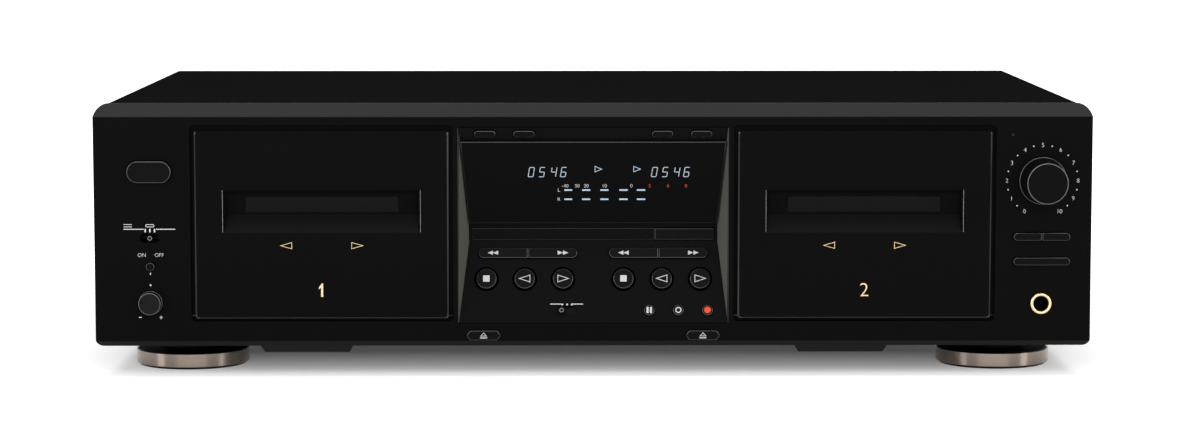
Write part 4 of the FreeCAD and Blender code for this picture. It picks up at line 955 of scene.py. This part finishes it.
left_column = -191.0 * mm
rule_height = 64.2 * mm
rule_thick = 0.35 * mm
rule_top = rule_height + rule_thick
rule_left = -202.3 * mm
rule_right = -180.1 * mm
rule_break = 2.6 * mm
tick_pitch = 2.0 * mm
tick_tall = 1.5 * mm
tick_wide = 0.6 * mm
one_way_long = 3.6 * mm
one_way_thick = 0.25 * mm
add_box(legend, panel_face, rule_left, rule_height, left_column - rule_break, rule_top)
add_box(legend, panel_face, left_column + rule_break, rule_height, rule_right, rule_top)
for step in (-1, 0, 1):
    tick_x = left_column + step * tick_pitch
    add_box(legend, panel_face, tick_x - tick_wide / 2, rule_top - tick_tall, tick_x + tick_wide / 2,
            rule_top)
one_way_heights = (65.3 * mm, 66.3 * mm)
for line_height in one_way_heights:
    add_box(legend, panel_face, rule_left, line_height, rule_left + one_way_long,
            line_height + one_way_thick)
loop_height = 65.9 * mm
loop_wide = 3.8 * mm
loop_tall = 1.3 * mm
loop_line = 0.28 * mm
loop_outer, loop_inner = [[(left_column + x, loop_height + y)
                           for x, y in pill_outline(loop_wide, loop_tall, inset, steps=10)]
                          for inset in (0.0, loop_line)]
add_line_round(legend, panel_face, loop_outer, loop_inner)
words_height = 53.2 * mm
words_tall = 1.55 * mm
words_places = {"ON": -194.6 * mm, "OFF": -187.1 * mm}
for words, x in words_places.items():
    add_words(legend, panel_face, words, x, words_height, words_tall)
stroke_half = 0.2 * mm
stroke_low = 44.6 * mm
stroke_high = 45.5 * mm
add_box(legend, panel_face, left_column - stroke_half, stroke_low, left_column + stroke_half, stroke_high)
tempo_dot_height = 40.1 * mm
tempo_dot_radius = 0.4 * mm
add_mark(legend, panel_face, [(left_column + x, tempo_dot_height + y)
                              for x, y in disc_outline(tempo_dot_radius, steps=20)])
sign_height = 26.1 * mm
sign_half_line = 0.17 * mm
sign_half_tall = 0.65 * mm
tempo_signs = [(-196.2 * mm, -195.0 * mm, sign_half_line), (-187.3 * mm, -186.0 * mm, sign_half_line),
               (-186.82 * mm, -186.48 * mm, sign_half_tall)]
for left, right, half in tempo_signs:
    add_box(legend, panel_face, left, sign_height - half, right, sign_height + half)
laid("panel_legends", legend, panel_white, "case")

field_out = way_out("pause_press")
key_rise = 1.1 * mm
pause_front = front_of("pause_button", field_out)[0]
field_face = facing(pause_front.translation - field_out * key_rise, field_out)
field_face.translation.x = 0.0
filter_height = 31.25 * mm
filter_rule = height_on(field_face, filter_height)
filter_top = filter_rule + rule_thick
filter_left = -18.7 * mm
filter_right = -4.4 * mm
filter_ticks = (-13.4 * mm, -11.3 * mm, -9.3 * mm)
filter_half = 0.35 * mm
field_print = bmesh.new()
add_box(field_print, field_face, filter_left, filter_rule, filter_ticks[0], filter_top)
add_box(field_print, field_face, filter_ticks[2], filter_rule, filter_right, filter_top)
for tick_x in filter_ticks:
    add_box(field_print, field_face, tick_x - filter_half, filter_rule - filter_half, tick_x + filter_half,
            filter_top)
laid("field_legends", field_print, panel_white, "case")


# The headphone socket is a gilt bush with a rolled lip and a dark plastic liner, pressed into the panel. Its
# bore takes a plug of a quarter of an inch.
gilt = grained("gilt_brass", (0.58, 0.44, 0.25, 1.0), 0.24, 0.3 * mm, 0.002 * mm, 0.5, metal=1.0)
socket_dark = grained("socket_bore_plastic", linear(8), 0.5, 0.3 * mm, 0.003 * mm, 0.05)
socket_place, socket_wide, _, socket_deep = front_of("phones_jack", straight_out)
socket_lip = 0.9 * mm
lip_share = 0.9
socket_bore = 3.2 * mm
bore_deep = 14.0 * mm
bore_end = 0.05 * mm
bore_slack = 0.03 * mm
gilt_deep = 1.2 * mm
socket_rolls = 8
barrel = 4.4 * mm
lip_profile = [(barrel, -socket_deep), (barrel, -socket_lip), (socket_wide / 2, -socket_lip)]
lip_half = (socket_wide / 2 - socket_bore) / 2
lip_middle = socket_bore + lip_half
for roll in range(socket_rolls + 1):
    angle = math.pi * roll / socket_rolls
    lip_profile.append((lip_middle + lip_half * math.cos(angle),
                        -socket_lip * (1.0 - math.sin(angle)) * lip_share))
lip_profile += [(socket_bore, -bore_deep), (bore_end, -bore_deep)]
socket_mesh = turned(socket_place, lip_profile)
for face in socket_mesh.polygons:
    reach = face.center - socket_place.translation
    if math.hypot(reach.x, reach.z) < socket_bore + bore_slack and reach.y > gilt_deep:
        face.material_index = 1
fitted("phones_bush", socket_mesh, [gilt, socket_dark], "case", ["phones_jack"], round_crease)


# The level lamp beside the dial is a small unlit lens of dark red plastic. Its edge is rolled, and it is let
# into the panel.
lamp_red = grained("unlit_red_lens", linear(18, 8, 7), 0.3, 0.2 * mm, 0.001 * mm, 0.1)
lamp_place, lamp_wide, _, lamp_deep = front_of("level_lamp", straight_out)
lamp_edge = 0.35 * mm
lamp_eye = 0.02 * mm
lamp_profile = [(lamp_wide / 2, -lamp_deep), *rolled(lamp_wide / 2, 0.0, lamp_edge), (lamp_eye, 0.0)]
fitted("level_lens", turned(lamp_place, lamp_profile, 36), [lamp_red], "case", ["level_lamp"],
       round_crease)


# The front feet are turned plastic drums under the chassis, and the rear feet are plain rubber pads. An
# anodised ring is pressed over each front drum, and its turning lines draw the light out.
foot_rubber = grained("black_foot_plastic", linear(12), 0.5, 0.5 * mm, 0.008 * mm, 0.05)
champagne = grained("champagne_anodised_ring", (0.23, 0.19, 0.16, 1.0), 0.26, 0.12 * mm, 0.0005 * mm, 0.5,
                    metal=1.0)
grooved(champagne, 0.9, "Z")
foot_low, foot_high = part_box("front_feet")
ring_low, ring_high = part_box("foot_rings")
ring_radius = (ring_high.y - ring_low.y) / 2
ring_middle = (ring_high.y + ring_low.y) / 2
foot_drum = (foot_high.y - foot_low.y) / 2
foot_neck = 12.0 * mm
ring_seat = foot_drum + 0.05 * mm
ring_edge = 0.25 * mm
drum_top_edge = 0.3 * mm
drum_foot_edge = 0.6 * mm
drum_foot_rise = 0.5 * mm
neck_slope = 3.0 * mm
neck_rise = 1.0 * mm
pad_foot_edge = 0.8 * mm
pad_top_edge = 0.6 * mm


def joined(meshes):
    """Several meshes as one."""
    whole = bmesh.new()
    for mesh in meshes:
        whole.from_mesh(mesh)
    one = bpy.data.meshes.new("joined")
    whole.to_mesh(one)
    whole.free()
    return one


drums = []
for hand, word in ((-1, "left"), (1, "right")):
    upright = Matrix.Translation((hand * (ring_high.x - ring_radius), ring_middle, 0.0))
    drum = [(foot_drum - drum_foot_edge, 0.0), (foot_drum, drum_foot_rise),
            *rolled(foot_drum, ring_high.z, drum_top_edge)]
    drum += [(foot_neck + neck_slope, ring_high.z), (foot_neck, ring_high.z + neck_rise),
             (foot_neck, foot_high.z)]
    drums.append(turned(upright, drum))
    band = [(ring_seat, ring_low.z)]
    band += [(ring_radius - ring_edge, ring_low.z), (ring_radius, ring_low.z + ring_edge)]
    band += rolled(ring_radius, ring_high.z, ring_edge)
    band.append((ring_seat, ring_high.z))
    loops = [[upright @ Vector((x, y, z)) for x, y in disc_outline(radius, steps=128)] for radius, z in band]
    hoop = bmesh.new()
    made = [[hoop.verts.new(spot) for spot in loop] for loop in loops]
    for loop, following in zip(made, made[1:] + made[:1]):
        walled(hoop, loop, following)
    hoop_mesh = bpy.data.meshes.new("hoop")
    hoop.to_mesh(hoop_mesh)
    hoop.free()
    fitted(f"{word}_foot_hoop", hoop_mesh, [champagne], "case", ["foot_rings"],
           round_crease)
fitted("front_foot_drums", joined(drums), [foot_rubber], "case", ["front_feet"],
       round_crease)
rear_low, rear_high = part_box("rear_feet")
rear_radius = (rear_high.y - rear_low.y) / 2
pads = []
for hand in (-1, 1):
    upright = Matrix.Translation((hand * (rear_high.x - rear_radius), (rear_high.y + rear_low.y) / 2, 0.0))
    pads.append(turned(upright, [(rear_radius - pad_foot_edge, 0.0), (rear_radius, pad_foot_edge),
                                 *rolled(rear_radius, rear_high.z, pad_top_edge)]))
fitted("rear_foot_pads", joined(pads), [foot_rubber], "case", ["rear_feet"], round_crease)


# The cover is one sheet of steel bent over the top and both sides, in black textured paint. Its eased edges
# are painted lighter, partly as rubbed paint and partly as a painted highlight. The chassis is a tray with
# pressed wells, painted dark grey as painted shade for the shadow under the body, and the back is a painted
# plate whose eased edges take the same lighter paint.
cover_paint = grained("black_cover_paint", linear(18), 0.75, 0.6 * mm, 0.03 * mm, 0.0)
chassis_painted_shade = grained("dark_chassis_painted_shade", linear(34), 0.5, 0.6 * mm, 0.006 * mm, 0.1)
back_paint = grained("black_back_paint", linear(15), 0.6, 0.4 * mm, 0.01 * mm, 0.05)
worn_and_highlight_paint = grained("rubbed_and_highlight_cover_edge", linear(30), 0.5, 0.3 * mm, 0.01 * mm, 0.2)
cover_bend = 0.35 * mm
chassis_bend = 0.3 * mm
back_bend = 0.2 * mm
fitted("cover_sheet", eased("top_cover", cover_bend, rim=1), [cover_paint, worn_and_highlight_paint], "case",
       ["top_cover"])
fitted("chassis_pan", eased("bottom_chassis", chassis_bend), [chassis_painted_shade], "case",
       ["bottom_chassis"])
fitted("back_plate", eased("rear_panel", back_bend, rim=1), [back_paint, worn_and_highlight_paint], "case",
       ["rear_panel"])


# Two blackened screws on each side hold the cover to the chassis. Each has a low pan head with a cross
# recess pressed into it.
screw_zinc = grained("black_zinc_screw", (0.025, 0.025, 0.025, 1.0), 0.35, 0.2 * mm, 0.002 * mm, 0.5,
                     metal=1.0)
screw_low, screw_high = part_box("cover_screws")
head_radius = 3.6 * mm
head_deep = 1.6 * mm
head_edge = 0.7 * mm
cross_arm = 1.9 * mm
cross_waist = 0.62 * mm
cross_depth = 0.9 * mm
cross_draft = 0.2 * mm
arm_half_turn = 0.42


def cross_outline(inset, steps=48):
    """The recess: four arms round a waist."""
    outline = []
    for step in range(steps):
        angle = 2 * math.pi * step / steps
        reach = (cross_arm if abs(math.sin(2 * angle)) < arm_half_turn else cross_waist) - inset
        outline.append((reach * math.cos(angle), reach * math.sin(angle)))
    return outline


heads = []
for side in (-1, 1):
    for along in (screw_low.y + head_radius, screw_high.y - head_radius):
        spot = Matrix.Translation((side * screw_high.x, along, (screw_low.z + screw_high.z) / 2))
        place = spot @ Matrix.Rotation(side * math.pi / 2, 4, "Y")
        layers = [(disc_outline(radius, steps=48), z) for radius, z in
                  [(head_radius, -head_deep), *rolled(head_radius, 0.0, head_edge)[:-1]]]
        layers += [(disc_outline(head_radius - head_edge, steps=48), 0.0), (cross_outline(0.0), 0.0),
                   (cross_outline(cross_draft), -cross_depth)]
        heads.append(skinned([[place @ Vector((x, y, z)) for x, y in outline] for outline, z in layers]))
fitted("cover_screw_heads", joined(heads), [screw_zinc], "case", ["cover_screws"],
       round_crease)


# The four line sockets are nickelled sleeves pressed into one black block behind the back plate. Each
# sleeve holds a moulded insulator, white for the left channel and red for the right, round a sprung tube.
jack_plastic = grained("black_jack_block", linear(20), 0.45, 0.3 * mm, 0.004 * mm, 0.1)
nickel = grained("nickelled_sleeve", (0.42, 0.41, 0.39, 1.0), 0.3, 0.2 * mm, 0.001 * mm, 0.5, metal=1.0)
insulator_white = grained("white_insulator", linear(200, 198, 190), 0.4, 0.2 * mm, 0.002 * mm, 0.3)
insulator_red = grained("red_insulator", linear(150, 30, 26), 0.4, 0.2 * mm, 0.002 * mm, 0.3)
back_face = 136.5 * mm
sleeve_start = 0.1 * mm
sleeve_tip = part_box("line_jacks")[1].y
jacks_mesh = eased("line_jacks", 0.0)
for face in jacks_mesh.polygons:
    if face.center.y > back_face + sleeve_start:
        face.material_index = 1
fitted("line_socket_block", jacks_mesh, [jack_plastic, nickel], "case", ["line_jacks"],
       round_crease)
jacks_middle = 140.0 * mm
jacks_height = 74.0 * mm
half_pitch = 7.5 * mm
insulator_sink = 1.2 * mm
insulator_shape = [(3.12 * mm, -6.0 * mm), (3.12 * mm, -0.3 * mm), (2.8 * mm, 0.0), (1.9 * mm, 0.0),
                   (1.6 * mm, -0.3 * mm), (1.6 * mm, -4.5 * mm)]
for column, word, colour in ((-1, "left", insulator_white), (1, "right", insulator_red)):
    plugs = []
    for row in (-1, 1):
        spot = (jacks_middle - column * half_pitch, sleeve_tip - insulator_sink,
                jacks_height + row * half_pitch)
        plugs.append(turned(facing(spot, (0.0, 1.0, 0.0)), insulator_shape, 40, rims=(4,)))
    fitted(f"line_insulators_{word}", joined(plugs), [colour, nickel], "case", crease=round_crease)


# Each tape mechanism is a zinc plated steel plate on a foot. It carries the ground capstans in front and the
# dark motor can behind, and stands on the chassis behind its door.
zinc = grained("zinc_plated_steel", (0.2, 0.2, 0.205, 1.0), 0.42, 1.5 * mm, 0.004 * mm, 0.5, metal=1.0)
bright_pin = grained("ground_capstan_steel", (0.55, 0.55, 0.56, 1.0), 0.16, 0.15 * mm, 0.0005 * mm, 0.5,
                     metal=1.0)
motor_can = grained("dark_motor_can", (0.09, 0.09, 0.1, 1.0), 0.35, 0.4 * mm, 0.002 * mm, 0.5, metal=1.0)
works_ease = 0.2 * mm
plate_setback = 21.0 * mm
plate_thick = 2.0 * mm
plate_front = panel_front + plate_setback
plate_back = plate_front + plate_thick
plate_margin = 0.3 * mm
capstan_reach = 11.0 * mm
works_foot = 30.0 * mm
for letter in "ab":
    works_mesh = eased(f"tape_mechanism_{letter}", works_ease)
    for face in works_mesh.polygons:
        if face.center.z > works_foot and face.center.y > plate_back + plate_margin:
            face.material_index = 2
        elif face.center.z > works_foot and -capstan_reach < face.center.y - plate_front < -plate_margin:
            face.material_index = 1
    fitted(f"tape_works_{letter}", works_mesh, [zinc, bright_pin, motor_can], "case",
           [f"tape_mechanism_{letter}"], round_crease)


# Each head block is a zinc plated slide that lifts its pieces into the cassette: a polished tape head in the
# middle, a plastic tape guide on each side of it, and a rubber pinch roller at each end.
head_metal = grained("polished_head_steel", (0.5, 0.5, 0.52, 1.0), 0.25, 0.2 * mm, 0.001 * mm, 0.5, metal=1.0)
pinch_rubber = grained("black_pinch_rubber", linear(18), 0.75, 0.3 * mm, 0.006 * mm, 0.05)
holder_plastic = grained("black_holder_plastic", linear(20), 0.5, 0.5 * mm, 0.006 * mm, 0.05)
head_ease = 0.15 * mm
slide_top = 27.05 * mm
roller_inside = 20.0 * mm
guide_inside = 9.5 * mm
for side, letter in ((-1, "a"), (1, "b")):
    heads_mesh = eased(f"head_block_{letter}", head_ease)
    for face in heads_mesh.polygons:
        across = abs(face.center.x - side * deck_middle)
        if face.center.z < slide_top:
            face.material_index = 1
        elif across > roller_inside:
            face.material_index = 2
        elif across > guide_inside:
            face.material_index = 3
    fitted(f"tape_heads_{letter}", heads_mesh, [head_metal, zinc, pinch_rubber, holder_plastic],
           f"head_block_{letter}", [f"head_block_{letter}"], round_crease)


# The cassette holders, the reel hubs, the circuit board, the transformer and the cord's gland keep their
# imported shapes. Each takes the finish that its own stuff has.
hub_plastic = grained("black_hub_plastic", linear(30), 0.4, 0.3 * mm, 0.003 * mm, 0.1)
board_lacquer = grained("green_board_lacquer", linear(32, 70, 40), 0.35, 0.8 * mm, 0.01 * mm, 0.3)
core_plate = grained("varnished_core_plate", linear(60, 52, 44), 0.5, 0.5 * mm, 0.02 * mm, 0.3)
gland_rubber = grained("black_gland_rubber", linear(22), 0.65, 0.5 * mm, 0.008 * mm, 0.1)


def dressed(node, skin):
    """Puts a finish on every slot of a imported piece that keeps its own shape."""
    for slot in frame["nodes"][node].material_slots:
        slot.material = skin


for letter in "ab":
    dressed(f"cassette_holder_{letter}", holder_plastic)
    for hand in ("left", "right"):
        dressed(f"reel_hub_{letter}_{hand}", hub_plastic)
dressed("main_circuit_board", board_lacquer)
dressed("power_transformer", core_plate)
dressed("cord_gland", gland_rubber)
